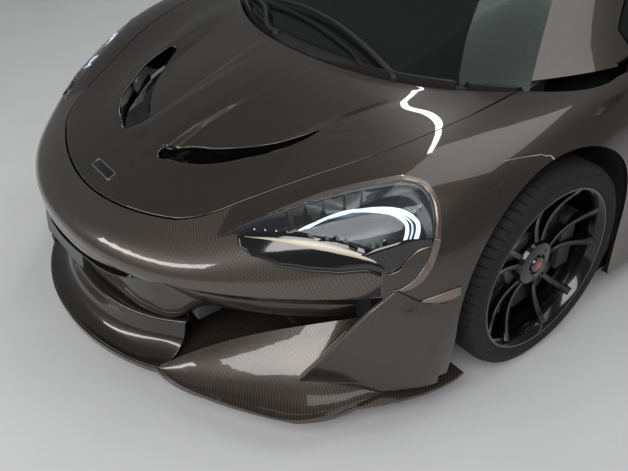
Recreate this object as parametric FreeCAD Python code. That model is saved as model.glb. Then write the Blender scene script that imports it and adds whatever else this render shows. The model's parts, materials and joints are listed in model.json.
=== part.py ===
import FreeCAD, Part
import math
import os

V = FreeCAD.Vector

# Mid-engined supercar. Millimetres, +Z up, nose towards -Y, the car's left side is +X,
# origin on the floor at mid length.

# Overall sizes
width = 1930.0
height = 1194.0
wheelbase = 2670.0
front_overhang = 1085.0
rear_overhang = 849.0
floor_height = 100.0

# Wheels, brakes and steering
front_tyre_radius = 320.0
front_tyre_width = 225.0
front_rim_radius = 259.0
rear_tyre_radius = 354.0
rear_tyre_width = 285.0
rear_rim_radius = 271.0
tyre_inset_front = 16.0
tyre_inset_rear = 18.0
arch_clearance = 52.0
liner_wall = 4.0
barrel_wall = 15.0
spoke_pairs = 5
spoke_root = 26.0
spoke_tip = 17.0
spoke_depth = 34.0
spoke_spread = 14.0
disc_radius_front = 190.0
disc_radius_rear = 184.0
disc_thickness = 30.0
caliper_gap = 8.0
axle_radius = 26.0
hub_radius = 68.0
kingpin_inset = 82.5
arm_rise = 165.0
arm_radius = 13.0
steer_limit = 30.0
steer_clearance = 28.0
rear_liner_clearance = 32.0

# Panels
panel_wall = 12.0
glass_wall = 5.0
glass_step = 2.0           # the glass lies this far under the body's skin
roof_wall = 26.0
panel_gap = 5.0
seat_gap = 0.3
curved_gap = 0.45
outer_reach = 300.0
lamp_floor = 470.0
beak_z = 440.0
blade_top = 400.0
door_inner_x = 790.0
door_shoulder_x = 830.0
door_flange = 34.0
# Room for the first degrees of a lid or door, over the shut line: roof, side window, quarter, bonnet
door_swing = 10.0
glass_swing = 4.0
quarter_swing = 1.8
bonnet_swing = 0.5

striker_z = 470.0
engine_x = 250.0
striker_height = 40.0
side_in = 700.0            # a side opening is cut from here outwards
cowl_rim = 40.0
cowl_top = 765.0
cowl_notch = 747.0         # the far wiper arm passes over the cowl above this height
wiper_depth = 8.0

# Structure
tub_wall = 24.0
sill_x = 780.0
sill_width = 140.0
sill_top = 330.0
post_top = 700.0
bulkhead_top = 800.0
rail_x = 420.0
rail_width = 50.0
rail_height = 60.0
splitter_wall = 14.0
duct_depth = 66.0
duct_wall = 5.0
intake_depth = 90.0
fin_wall = 6.0
post_radius = 14.0

# Cabin
seat_width = 470.0
seat_offset = 330.0
console_width = 176.0
steering_wheel_radius = 178.0
steering_wheel_rim = 15.0

half_width = width / 2
length = front_overhang + wheelbase + rear_overhang
front_axle_y = front_overhang - length / 2
rear_axle_y = front_axle_y + wheelbase
front_wheel_x = half_width - tyre_inset_front - front_tyre_width / 2
rear_wheel_x = half_width - tyre_inset_rear - rear_tyre_width / 2
arch_front = front_tyre_radius + arch_clearance
arch_rear = rear_tyre_radius + arch_clearance

# The steered tyre's inner corner sets how far out the front liner starts
kingpin_x = front_wheel_x - kingpin_inset
steer = math.radians(steer_limit)
corner_reach = (front_tyre_width / 2 - kingpin_inset) * math.cos(steer) + front_tyre_radius * math.sin(steer)
liner_in_front = kingpin_x - corner_reach - steer_clearance
liner_in_rear = rear_wheel_x - rear_tyre_width / 2 - rear_liner_clearance

# The styling tables below are drawn for these sizes and follow the real ones
drawn_half_width = 965.0
drawn_overhang = 1085.0
drawn_wheelbase = 2670.0
drawn_tail = 849.0
drawn_height = 1194.0


def px(x):
    return x * half_width / drawn_half_width


def py(v):
    if v < 0:
        return front_axle_y + v * front_overhang / drawn_overhang
    if v > drawn_wheelbase:
        return rear_axle_y + (v - drawn_wheelbase) * rear_overhang / drawn_tail
    return front_axle_y + v * wheelbase / drawn_wheelbase


def pz(z):
    return z * height / drawn_height


def at(x, v, z):
    return V(px(x), py(v), pz(z))


# Lower body, front to tail: stations of the outer skin, v counted back from the front axle.
# v_mid, v_side, crown_z, dip_x, dip_z, crest_x, crest_z, edge_x, edge_z,
# flank_x, flank_z, tuck_x, tuck_z, sill_x, sill_z
BODY = [
    (-1034, -540, 405, 400, 412, 640, 412, 745, 388, 805, 322, 832, 236, 842, 160),
    (-1072, -500, 452, 400, 456, 655, 452, 775, 420, 842, 345, 872, 250, 878, 160),
    (-960, -455, 518, 400, 535, 640, 560, 790, 520, 885, 400, 915, 270, 910, 160),
    (-800, -400, 578, 420, 590, 660, 634, 830, 602, 928, 450, 946, 290, 925, 150),
    (-600, -330, 645, 470, 645, 700, 692, 870, 670, 957, 510, 961, 310, 932, 140),
    (-380, -190, 706, 510, 700, 750, 735, 905, 712, 969, 560, 966, 330, 936, 130),
    (-160, 10, 752, 560, 742, 780, 766, 930, 738, 972, 590, 968, 340, 938, 125),
    (150, 330, 790, 600, 765, 790, 784, 915, 752, 944, 590, 928, 350, 930, 120),
    (700, 780, 800, 620, 780, 790, 806, 880, 772, 900, 610, 872, 380, 926, 118),
    (1300, 1340, 820, 640, 830, 790, 862, 895, 820, 926, 640, 890, 400, 930, 118),
    (1850, 1900, 850, 600, 880, 780, 930, 925, 872, 968, 690, 956, 420, 940, 122),
    (2400, 2450, 860, 600, 890, 790, 950, 940, 892, 975, 720, 969, 440, 932, 140),
    (2850, 2900, 870, 600, 895, 780, 945, 922, 890, 958, 730, 954, 460, 914, 180),
    (3200, 3190, 885, 600, 905, 760, 935, 880, 886, 914, 740, 908, 490, 868, 230),
    (3440, 3400, 905, 600, 918, 740, 930, 830, 880, 858, 745, 852, 520, 820, 290),
]

# Greenhouse, windscreen base to tail of the roof.
# v_mid, v_side, top_z, rail_x, rail_z, glass_x, glass_z, belt_x, belt_z
HOUSE = [
    (-195, 235, 744, 560, 752, 760, 752, 850, 748),
    (60, 420, 880, 520, 866, 720, 820, 852, 752),
    (330, 600, 1030, 470, 1006, 680, 900, 850, 762),
    (640, 800, 1160, 450, 1128, 650, 985, 846, 776),
    (980, 1000, 1204, 450, 1166, 640, 1020, 842, 800),
    (1350, 1300, 1178, 450, 1146, 650, 1020, 845, 845),
    (1800, 1650, 1086, 460, 1074, 680, 985, 860, 885),
    (2350, 2150, 985, 480, 985, 700, 950, 860, 900),
    (2900, 2800, 925, 500, 925, 700, 925, 850, 895),
]

# Shut lines in plan (x, v) and in side view (v, z)
# A pair of points is an arc through the first to the second
bonnet_path = [
    (-470.0, -722.0), ((-430.0, -790.0), (-373.0, -842.0)), ((0.0, -936.0), (373.0, -842.0)),
    ((430.0, -790.0), (470.0, -722.0)), (566.0, -537.0), ((668.0, -300.0), (700.0, 60.0)),
    ((0.0, -185.0), (-700.0, 60.0)), ((-668.0, -300.0), (-566.0, -537.0)),
]
nose_path = [
    (-20.0, -1300.0), (-20.0, -700.0), (440.0, -700.0), (470.0, -722.0), (512.0, -800.0),
    (700.0, -600.0), (828.0, -526.0), (860.0, -562.0), (1100.0, -700.0), (1100.0, -1300.0),
]
lamp_path = [
    (510.0, -807.0), ((600.0, -650.0), (746.0, -430.0)), ((822.0, -388.0), (890.0, -432.0)),
    ((884.0, -478.0), (838.0, -522.0)), ((735.0, -612.0), (569.0, -749.0)),
]
vent_path = [
    (92.0, -716.0), ((104.0, -745.0), (150.0, -738.0)), ((262.0, -690.0), (345.0, -600.0)),
    ((400.0, -520.0), (424.0, -428.0)), ((410.0, -404.0), (394.0, -420.0)), ((310.0, -530.0), (190.0, -630.0)),
    ((130.0, -662.0), (92.0, -716.0)),
]
door_path = [
    (560.0, 190.0), (1440.0, 190.0), ((1530.0, 480.0), (1500.0, 870.0)), (1500.0, 1000.0),
    (380.0, 1000.0), (400.0, 740.0), ((480.0, 460.0), (560.0, 190.0)),
]
door_top_path = [(300.0, 757.0), (1600.0, 864.0), (1600.0, 1100.0), (300.0, 1100.0)]
cabin_path = [
    (-20.0, -180.0), ((400.0, -130.0), (700.0, 60.0)), ((800.0, 160.0), (826.0, 330.0)),
    (826.0, 1545.0), (-20.0, 1545.0),
]
screen_path = [
    (-20.0, -142.0), ((400.0, -72.0), (712.0, 95.0)), ((600.0, 280.0), (455.0, 540.0)),
    ((220.0, 500.0), (-20.0, 495.0)),
]
window_path = [
    (440.0, 600.0), (470.0, 845.0), ((700.0, 985.0), (960.0, 1085.0)),
    ((1200.0, 1110.0), (1430.0, 1040.0)), (1485.0, 800.0), (1485.0, 600.0),
]
intake_path = [
    (1548.0, 330.0), ((1640.0, 352.0), (1740.0, 430.0)), ((1850.0, 560.0), (1880.0, 690.0)),
    ((1700.0, 706.0), (1560.0, 672.0)), ((1590.0, 500.0), (1548.0, 330.0)),
]
deck_path = [(-20.0, 1545.0), (540.0, 1545.0), (600.0, 3400.0), (-20.0, 3400.0)]
well_path = [
    (-20.0, 1530.0), (330.0, 1530.0), ((420.0, 1800.0), (470.0, 2500.0)), (470.0, 3200.0), (-20.0, 3200.0),
]
far_wiper_path = [(600.0, -12.0), (590.0, -28.0), (60.0, 128.0), (66.0, 142.0)]
shelf_path = [(-20.0, -40.0), ((400.0, 22.0), (640.0, 190.0)), (640.0, 480.0), (-20.0, 480.0)]
cowl_path = [
    (0.0, -174.0), ((400.0, -100.0), (688.0, 72.0)), (700.0, 180.0), (640.0, 200.0), (0.0, 10.0),
]


def body_half(r):
    vm, vs, zc, dx, dz, cx, cz, ex, ez, fx, fz, tx, tz, sx, sz = r
    pts = [(0, zc), (dx * 0.5, zc * 0.5 + dz * 0.5), (dx, dz), ((dx + cx) / 2, (dz + cz) / 2)]
    pts += [(cx, cz), (ex, ez), (fx, fz), (tx, tz), (sx, sz)]
    reach = max(p[0] for p in pts)
    return [(x, vm + (vs - vm) * min(1.0, x / reach) ** 2.5, z) for x, z in pts]


def house_half(r):
    vm, vs, zc, rx, rz, gx, gz, bx, bz = r
    pts = [(0, zc), (rx * 0.5, zc * 0.72 + rz * 0.28), (rx, rz), (gx, gz), (bx, bz)]
    return [(x, vm + (vs - vm) * (x / bx) ** 2, z) for x, z in pts]


def net(table, half):
    rows = []
    for r in table:
        pts = half(r)
        rows.append([at(-x, v, z) for x, v, z in reversed(pts[1:])] + [at(x, v, z) for x, v, z in pts])
    return rows


def knots(n):
    return [float(i) for i in range(n - 2)], [4] + [1] * (n - 4) + [4]


def surface(rows):
    ku, mu = knots(len(rows))
    kv, mv = knots(len(rows[0]))
    s = Part.BSplineSurface()
    s.buildFromPolesMultsKnots(rows, mu, mv, ku, kv, False, False, 3, 3)
    return s


def inward(rows, depth, core_z):
    out = []
    for i, row in enumerate(rows):
        line = []
        for j, p in enumerate(row):
            du = rows[min(i + 1, len(rows) - 1)][j] - rows[max(i - 1, 0)][j]
            dv = row[min(j + 1, len(row) - 1)] - row[max(j - 1, 0)]
            n = du.cross(dv)
            n.normalize()
            if n.dot(p - V(0, p.y, core_z)) < 0:
                n = n * -1
            line.append(p - n * depth)
        out.append(line)
    return out


def web(a, b):
    # the straight-ruled edge face between matching borders of two skins
    s = Part.BSplineSurface()
    s.buildFromPolesMultsKnots([a.getPoles(), b.getPoles()], [2, 2], a.getMultiplicities(),
                               [0.0, 1.0], a.getKnots(), False, False, 1, 3)
    return s.toShape()


def closed(outer, inner, ends, sides):
    # the solid between two matching skins
    faces = [outer.toShape(), inner.toShape()]
    for u in ends:
        faces.append(web(outer.uIso(u), inner.uIso(u)))
    for v in sides:
        faces.append(web(outer.vIso(v), inner.vIso(v)))
    shell = Part.Shell(faces)
    shell.sewShape()
    solid = Part.Solid(shell)
    if solid.Volume < 0:
        solid.reverse()
    return solid


def slab(table, shift):
    # a sheet from a table of rows of poles (x, v, z): the skin and its copy moved by shift
    rows = [[at(*q) for q in row] for row in table]
    outer = surface(rows)
    inner = surface([[q + shift for q in row] for row in rows])
    return closed(outer, inner, [0.0, len(rows) - 3.0], [0.0, len(rows[0]) - 3.0])


def thick(rows, lift, wall, core_z):
    # the left half of a closed panel blank: outer skin sunk by lift, inner skin one wall further in
    outer = surface(inward(rows, lift, core_z) if lift else rows)
    inner = surface(inward(rows, lift + wall, core_z))
    ends = [0.0, len(rows) - 3.0]
    sides = [(len(rows[0]) - 3.0) / 2, len(rows[0]) - 3.0]
    for s in (outer, inner):
        s.segment(ends[0], ends[1], sides[0], sides[1])
    return closed(outer, inner, ends, sides)


def place(p, f):
    return (f(p[0]), f(p[1])) if isinstance(p[0], tuple) else f(p)


def wire(points):
    # points in a plane; a tuple of two is an arc through the first to the second
    edges = []
    last = points[0]
    for p in list(points[1:]) + [points[0]]:
        if isinstance(p, tuple):
            edges.append(Part.Arc(last, p[0], p[1]).toShape())
            last = p[1]
        elif p.distanceToPoint(last) > 1e-6:
            edges.append(Part.LineSegment(last, p).toShape())
            last = p
    return Part.Wire(edges)


def plan_face(points, grow=0.0, z=-50.0):
    w = wire([place(p, lambda a: V(px(a[0]), py(a[1]), z)) for p in points])
    return Part.Face(w.makeOffset2D(grow) if grow else w)


def plan_prism(points, grow=0.0, z0=-50.0, z1=1500.0):
    # upright prism on an outline of (x, v) points
    return plan_face(points, grow, z0).extrude(V(0, 0, z1 - z0))


def plan_region(face, *holes):
    # upright prism on what is left of a plan face
    rest = trim(face, *holes)
    return max(rest.Faces, key=lambda f: f.Area).extrude(V(0, 0, 1500))


def side_prism(points, grow=0.0, x0=0.0, x1=1150.0):
    # prism across the car on an outline of (v, z) points
    w = wire([place(p, lambda a: V(px(x0), py(a[0]), pz(a[1]))) for p in points])
    if grow:
        w = w.makeOffset2D(grow)
    return Part.Face(w).extrude(V(px(x1) - px(x0), 0, 0))


def box(x0, x1, y0, y1, z0, z1):
    return Part.makeBox(abs(x1 - x0), abs(y1 - y0), abs(z1 - z0), V(min(x0, x1), min(y0, y1), min(z0, z1)))


def block(x0, x1, v0, v1, z0, z1):
    return box(px(x0), px(x1), py(v0), py(v1), pz(z0), pz(z1))


def loft(*sections):
    rings = [Part.makePolygon([at(*q) for q in ring] + [at(*ring[0])]) for ring in sections]
    return Part.makeLoft(rings, True, True)


def rod(a, b, r):
    return Part.makeCylinder(r, (b - a).Length, a, b - a)


def strut(a, b, r, tool):
    # a rod that stops short of the tool's skin
    return min(rod(a, b, r).cut(tool).Solids, key=lambda q: q.distToShape(Part.Vertex(a))[0])


def trim(s, *tools):
    for t in tools:
        s = s.cut(t)
    return s


def join(first, *rest):
    for s in rest:
        first = first.fuse(s)
    return first.removeSplitter()


def mirrored(s):
    return s.mirror(V(0, 0, 0), V(1, 0, 0))


def biggest(s):
    return sorted(s.Solids, key=lambda q: -q.Volume)[0]


def both(s):
    return Part.makeCompound(s.Solids + mirrored(s).Solids)


def whole(s):
    # a centre piece from its left half
    return biggest(s.fuse(mirrored(s)).removeSplitter())


def arch(y, r, zc):
    c = Part.makeCylinder(r, 2 * width, V(-width, y, zc), V(1, 0, 0))
    return c.fuse(box(-width, width, y - r, y + r, -10, zc))


made = {}

body_net = net(BODY, body_half)
house_net = net(HOUSE, house_half)
core = pz(300.0)
core_house = pz(500.0)
skin = thick(body_net, 0.0, panel_wall, core)
outside = thick(body_net, -outer_reach, outer_reach, core)
under = thick(body_net, -outer_reach, outer_reach + panel_wall + curved_gap, core)
inside = thick(body_net, -seat_gap, 150.0, core)
roof_skin = thick(house_net, 0.0, roof_wall, core_house)
glass_skin = thick(house_net, glass_step, glass_wall, core_house)
over_roof = thick(house_net, -outer_reach, outer_reach, core_house)
over_screen = thick(house_net, -outer_reach, outer_reach + glass_step + glass_wall + 2 * curved_gap,
                    core_house)

arches = arch(front_axle_y, arch_front, front_tyre_radius).fuse(arch(rear_axle_y, arch_rear, rear_tyre_radius))
bonnet_body = plan_prism(bonnet_path, -panel_gap / 2)
lamp_hole = plan_face(lamp_path, seat_gap)
bonnet_hole = plan_face(bonnet_path, panel_gap / 2 + bonnet_swing)
cabin_hole = plan_face(cabin_path)
side_x = 1150.0
fender_path = [(-20.0, -1200.0), (-20.0, 575.0), (side_x, 575.0), (side_x, -1200.0)]
quarter_path = [(-20.0, 575.3), (-20.0, 3600.0), (side_x, 3600.0), (side_x, 575.3)]
door_cut = side_prism(door_path, panel_gap)
window_cut = side_prism(window_path, glass_swing)

vent_hole = plan_prism(vent_path)
made["bonnet"] = whole(biggest(trim(skin.common(bonnet_body), vent_hole)))
duct_top = panel_wall + seat_gap
duct = thick(body_net, duct_top, duct_depth, core).common(plan_prism(vent_path, duct_wall))
made["bonnet_ducts"] = both(biggest(duct.cut(thick(body_net, 0.0, duct_depth, core).common(vent_hole))))
below_beak = side_prism([(-1200.0, 380.0), (-1020.0, 380.0), (-940.0, beak_z), (-400.0, beak_z + 4.0),
                         (-400.0, -100.0), (-1200.0, -100.0)], 0.0, -50.0)
bumper = skin.common(plan_region(plan_face(nose_path), bonnet_hole, lamp_hole))
made["front_bumper"] = whole(biggest(bumper.cut(below_beak)))
fender = skin.common(plan_region(plan_face(fender_path), plan_face(nose_path, seat_gap), bonnet_hole, lamp_hole,
                                 cabin_hole))
fender = trim(fender, arches, door_cut, block(400, side_x, -1300, -436, -100, blade_top))
made["front_fenders"] = both(biggest(fender))
made["engine_cover"] = whole(biggest(skin.common(plan_prism(deck_path, -panel_gap / 2))))
quarter = skin.common(plan_region(plan_face(quarter_path), cabin_hole, plan_face(deck_path, panel_gap / 2),
                                  plan_face(well_path)))
quarter_cut = side_prism(door_path, panel_gap + quarter_swing)
made["rear_quarters"] = both(biggest(trim(quarter, arches, quarter_cut, side_prism(intake_path, 0.0, side_in))))
intake = thick(body_net, duct_top, intake_depth, core).common(side_prism(intake_path, duct_wall, side_in))
intake_room = thick(body_net, 0.0, duct_top + intake_depth - duct_wall, core).common(
    side_prism(intake_path, 0.0, side_in))
made["side_intakes"] = both(biggest(intake.cut(intake_room)))
made["headlamps"] = both(biggest(plan_prism(lamp_path, 0.0, pz(lamp_floor), pz(800.0)).cut(outside)))

# Doors are as thick as the real ones: an outer skin with a flange all round, and an inner box with flat trim
door = trim(side_prism(door_path, 0.0, door_inner_x), outside, side_prism(door_top_path, 0.0, 0.0, door_shoulder_x))
behind_skin = thick(body_net, panel_wall, outer_reach, core)
door_edge = side_prism(door_path, 30.0, door_inner_x - 10.0).cut(side_prism(door_path, -door_flange, side_in))
door = biggest(door.cut(door_edge.common(behind_skin)))
side_glass = glass_skin.common(side_prism(window_path, -panel_gap)).cut(door.translated(V(0, 0, seat_gap)))
side_glass = biggest(side_glass)
made["door_left"] = door
made["door_right"] = mirrored(door)
made["door_glass_left"] = side_glass
made["door_glass_right"] = mirrored(side_glass)
door_room = side_prism(door_path, panel_gap + door_swing, door_inner_x - panel_gap).common(
    thick(body_net, -panel_gap - door_swing, 150.0, core))

roof_path = [(-20.0, -300.0), (-20.0, 3000.0), (side_x, 3000.0), (side_x, -300.0)]
roof = roof_skin.common(plan_region(plan_face(roof_path), plan_face(screen_path), plan_face(well_path)))
roof = trim(roof, window_cut, inside, door_room)
made["roof"] = whole(biggest(roof))
made["windscreen"] = whole(biggest(glass_skin.common(plan_prism(screen_path, -seat_gap))))
rear_glass = block(-324, 324, 1530, 1535, bulkhead_top, 1300).translated(V(0, seat_gap, seat_gap))
rear_glass = rear_glass.common(box(0, width, -length, length, 0, 2 * height))
made["rear_glass"] = whole(biggest(rear_glass.cut(over_roof)))

# Tub: floor, footwells, sills, posts and bulkheads round the cabin
floor_top = floor_height + tub_wall
foot_x = liner_in_front - seat_gap
bulkhead_y = py(150.0)
post_y = front_axle_y + arch_front + liner_wall + 16.0
dash_y = py(480.0)
post_z = pz(post_top)
bulkhead_z = pz(bulkhead_top)
cabin_end = py(1540.0)
tub_end = cabin_end + 20.0
sill_out = px(sill_x)
sill_in = sill_out - sill_width
tub = join(
    box(-foot_x, foot_x, bulkhead_y, post_y + tub_wall, floor_height, floor_top),
    box(-sill_out, sill_out, post_y, tub_end, floor_height, floor_top),
    box(-foot_x, foot_x, bulkhead_y, bulkhead_y + tub_wall, floor_top, post_z),
    box(-sill_out, sill_out, cabin_end, tub_end, floor_top, bulkhead_z),
)
for side in (-1, 1):
    tub = join(
        tub,
        box(side * (foot_x - tub_wall), side * foot_x, bulkhead_y, post_y + tub_wall, floor_top, 560),
        box(side * (foot_x - tub_wall), side * sill_out, post_y, post_y + tub_wall, floor_top, post_z - 10),
        box(side * sill_in, side * sill_out, post_y, dash_y - seat_gap, floor_top, post_z - 10),
        box(side * sill_in, side * sill_out, dash_y - 1, cabin_end, floor_top, sill_top),
        box(side * sill_in, side * sill_out, cabin_end - 40, cabin_end, sill_top, bulkhead_z),
        box(side * (sill_out - 40), side * (px(door_inner_x) - seat_gap), cabin_end - 75, cabin_end - 39,
            pz(striker_z), pz(striker_z) + striker_height),
    )
made["tub"] = biggest(tub)


# Front and rear frames carry the arms, liners and panels
def frame(y, tyre_r, arch_r, liner_x, y_from, y_to, z_rail, z_foot):
    # one side's rail, suspension bracket and tower, on the left
    rail_in = rail_x - rail_width
    return join(
        box(rail_in, rail_x, y_from, y_to, z_rail, z_rail + rail_height),
        box(rail_in, rail_x, y - 110, y + 110, z_foot, tyre_r + arm_rise + 45),
        box(rail_in, liner_x - seat_gap, y - 60, y + 60, tyre_r + arm_rise + 40,
            tyre_r + arch_r + liner_wall),
    )


front_rail_z = 240.0
rear_rail_z = 280.0
beam_y = py(-840.0)
front = frame(front_axle_y, front_tyre_radius, arch_front, liner_in_front, beam_y, bulkhead_y, front_rail_z,
              floor_height + splitter_wall)
beam_top = front_rail_z + rail_height
front = join(
    front,
    box(0, rail_x, beam_y, beam_y + 40, front_rail_z, beam_top),
    box(280, 320, beam_y, beam_y + 30, beam_top, 480),
    strut(V(300, beam_y + 15, 462), V(300, beam_y - 400, 462), post_radius, under),
    strut(V(40, beam_y + 20, beam_top - 5), V(40, beam_y + 20, 900), post_radius, under),
)
made["front_frame"] = whole(biggest(front))
bumper_in = 3406.0
rear_end = py(bumper_in) - seat_gap
rear_beam_y = py(3240.0)
diffuser_z = 200.0
rear = frame(rear_axle_y, rear_tyre_radius, arch_rear, liner_in_rear, tub_end, rear_end, rear_rail_z, 160)
rear_rail_top = rear_rail_z + rail_height
engine_out = px(engine_x)
rear = join(
    rear,
    box(0, rail_x, rear_beam_y, rear_beam_y + 60, rear_rail_z, rear_rail_top),
    box(engine_out - 1, rail_x, py(1900), py(1960), rear_rail_z, rear_rail_top),
    box(rail_x - rail_width, rail_x, rear_beam_y, rear_beam_y + 60, diffuser_z, rear_rail_z),
    strut(V(395, py(1700), rear_rail_top - 5), V(395, py(1700), 1200), post_radius, under),
    strut(V(395, rear_beam_y + 30, rear_rail_top - 5), V(395, rear_beam_y + 30, 1200), post_radius, under),
)
engine = join(block(-engine_x, engine_x, 1640, 2330, 170, 640), block(-170, 170, 2330, 2820, 200, 480))
made["engine"] = biggest(engine)
made["rear_frame"] = whole(biggest(rear.cut(box(-engine_out - seat_gap, engine_out + seat_gap, py(1600), py(2400), 0, 700))))


def liner(y, tyre_r, arch_r, x_in):
    # inner wheel arch, out to the back of the body skin
    tube = Part.makeCylinder(arch_r + liner_wall, half_width - x_in, V(x_in, y, tyre_r), V(1, 0, 0))
    tube = tube.cut(Part.makeCylinder(arch_r, half_width - x_in, V(x_in, y, tyre_r), V(1, 0, 0)))
    return biggest(trim(tube, under, box(0, width, y - 2 * arch_r, y + 2 * arch_r, -500, 200)))


made["arch_liners"] = Part.makeCompound(
    both(liner(front_axle_y, front_tyre_radius, arch_front, liner_in_front)).Solids
    + both(liner(rear_axle_y, rear_tyre_radius, arch_rear, liner_in_rear)).Solids)

# Cowl tray, dashboard and cabin
shelf_z = pz(post_top)
shelf = plan_prism(shelf_path, -panel_gap, shelf_z, pz(745.0))
cowl = plan_prism(cowl_path, 0.0, shelf_z, pz(820.0)).cut(plan_prism(shelf_path, seat_gap - panel_gap, 0.0))
glass_drop = V(0, -2 * curved_gap, -2 * curved_gap)
glass_room = glass_skin.common(plan_prism(screen_path, 2 * curved_gap)).translated(glass_drop)
wiper_room = plan_prism(far_wiper_path, panel_gap, pz(cowl_notch))
cowl = trim(cowl, over_screen, glass_room, wiper_room, plan_prism(screen_path, cowl_rim, pz(cowl_top)))
made["cowl"] = whole(biggest(cowl))
panel = loft([(0, 475, 600), (620, 475, 600), (620, 475, 745), (0, 475, 745)],
             [(0, 640, 580), (690, 640, 580), (690, 640, 765), (0, 640, 765)],
             [(0, 740, 600), (680, 740, 600), (680, 740, 715), (0, 740, 715)])
wheel_centre = at(seat_offset, 800.0, 690.0)
column = at(seat_offset, 624.0, 655.0) - wheel_centre
column.normalize()
hub_depth = 40.0
shaft = rod(wheel_centre + column * (hub_depth + seat_gap), wheel_centre + column * 160.0, 24.0)
made["dashboard"] = biggest(join(whole(join(shelf, panel)), shaft))
made["console"] = loft([(-console_width / 2, 744, 124), (console_width / 2, 744, 124),
                        (console_width / 2, 744, 560), (-console_width / 2, 744, 560)],
                       [(-console_width / 2, 1536, 124), (console_width / 2, 1536, 124),
                        (console_width / 2, 1536, 360), (-console_width / 2, 1536, 360)])


def seat(x):
    w = seat_width / 2
    cushion = loft([(x - w, 900, 190), (x + w, 900, 190), (x + w, 900, 350), (x - w, 900, 350)],
                   [(x - w, 1380, 170), (x + w, 1380, 170), (x + w, 1380, 300), (x - w, 1380, 300)])
    back = loft([(x - w, 1330, 200), (x + w, 1330, 200), (x + w, 1430, 200), (x - w, 1430, 200)],
                [(x - w, 1420, 620), (x + w, 1420, 620), (x + w, 1500, 620), (x - w, 1500, 620)],
                [(x - 130, 1455, 900), (x + 130, 1455, 900), (x + 130, 1520, 900), (x - 130, 1520, 900)])
    rails = [box(px(x) + s * 140, px(x) + s * 180, py(950), py(1330), floor_top, 200) for s in (-1, 1)]
    return biggest(join(cushion, back, *rails))


made["seats"] = Part.makeCompound([seat(seat_offset), seat(-seat_offset)])
ring = Part.makeTorus(steering_wheel_radius, steering_wheel_rim, wheel_centre, column)
hub = Part.makeCylinder(45.0, hub_depth, wheel_centre, column)
spokes = box(-steering_wheel_radius, steering_wheel_radius, -17, 17, 4, 18)
spokes.Placement = FreeCAD.Placement(wheel_centre, FreeCAD.Rotation(V(0, 0, 1), column))
made["steering_wheel"] = biggest(join(ring, hub, spokes))


# Wheels: side is +1 on the car's left and -1 on its right, and stations along the axle count outboard
def across(cx, y, z, side, r, a, b):
    lo, hi = sorted((cx + side * a, cx + side * b))
    return Part.makeCylinder(r, hi - lo, V(lo, y, z), V(1, 0, 0))


def tyre(cx, y, r, w, rim_r, side):
    h = w / 2
    wall = rim_r + 0.55 * (r - rim_r)
    profile = [(h - 6, rim_r), (h, wall), (h - 22, r), (22 - h, r), (-h, wall), (6 - h, rim_r)]
    section = Part.makePolygon([V(cx + a, y, r + b) for a, b in profile + profile[:1]])
    return Part.Face(section).revolve(V(cx, y, r), V(1, 0, 0), 360)


def rim(cx, y, r, w, rim_r, disc_r, side):
    h = w / 2 - 6
    bore = rim_r - barrel_wall
    barrel = across(cx, y, r, side, rim_r - seat_gap, -h, h).cut(across(cx, y, r, side, bore, -w, w))
    disc = across(cx, y, r, side, disc_r, -12, disc_thickness - 12).cut(across(cx, y, r, side, 110, -20, 10))
    wheel = join(barrel, across(cx, y, r, side, hub_radius, -18, 62), disc)
    # each spoke is a tapered bar from the hub to the outer lip; a pair leans apart towards the rim
    reach = rim_r - barrel_wall / 2
    for i in range(spoke_pairs):
        for lean in (-1, 1):
            ends = []
            for radius, wide, deep, face in (
                (40.0, spoke_root, spoke_depth, 84.0),
                (reach, spoke_tip, 20.0, h - 8),
            ):
                fan = spoke_spread * (0.55 + 0.45 * radius / reach)
                turn = math.radians(360.0 * (i + 0.1) / spoke_pairs + lean * fan)
                cy, cz = y + radius * math.sin(turn), r + radius * math.cos(turn)
                ty, tz = math.cos(turn) * wide / 2, -math.sin(turn) * wide / 2
                x_in, x_out = cx + side * (face - deep), cx + side * face
                ends.append(Part.makePolygon([
                    V(x_in, cy - ty, cz - tz), V(x_out, cy - 0.7 * ty, cz - 0.7 * tz),
                    V(x_out, cy + 0.7 * ty, cz + 0.7 * tz), V(x_in, cy + ty, cz + tz),
                    V(x_in, cy - ty, cz - tz)]))
            wheel = wheel.fuse(Part.makeLoft(ends, True, True))
    return biggest(wheel.cut(across(cx, y, r, side, axle_radius + seat_gap, -40, 40)).removeSplitter())


def upright(cx, y, r, disc_r, side):
    pin = cx - side * kingpin_inset
    half = arm_rise - 18.0 - seat_gap
    caliper = box(cx + side * -95.0, cx + side * 44.0, y + 135, y + 195, r - 95, r + 95)
    caliper = caliper.common(across(cx, y, r, side, disc_r + 26, -100, 50))
    caliper = caliper.cut(across(cx, y, r, side, disc_r + caliper_gap, -12 - caliper_gap,
                                 disc_thickness - 12 + caliper_gap))
    return biggest(join(
        across(cx, y, r, side, axle_radius, -90, 38),
        across(cx, y, r, side, 52, -95, -40),
        box(pin - 13, pin + 13, y - 30, y + 30, r - half, r + half),
        box(cx + side * -95.0, cx + side * -60.0, y, y + 150, r - 30, r + 30),
        caliper,
    ))


def arms(cx, y, r, side, spread):
    # an upper and a lower A-arm from the frame's bracket to the kingpin line
    pin = cx - side * kingpin_inset
    out = []
    for rise in (-arm_rise, arm_rise):
        tip = V(pin, y, r + rise)
        feet = [V(side * rail_x * 0.98, y + s * spread, r + rise) for s in (-1, 1)]
        arm = join(rod(tip, feet[0], arm_radius), rod(tip, feet[1], arm_radius),
                   rod(tip - V(0, 0, 18), tip + V(0, 0, 18), 20))
        out.append(biggest(arm.cut(box(-rail_x - seat_gap, rail_x + seat_gap, y - 300, y + 300, 0, 1000))))
    return out


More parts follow.
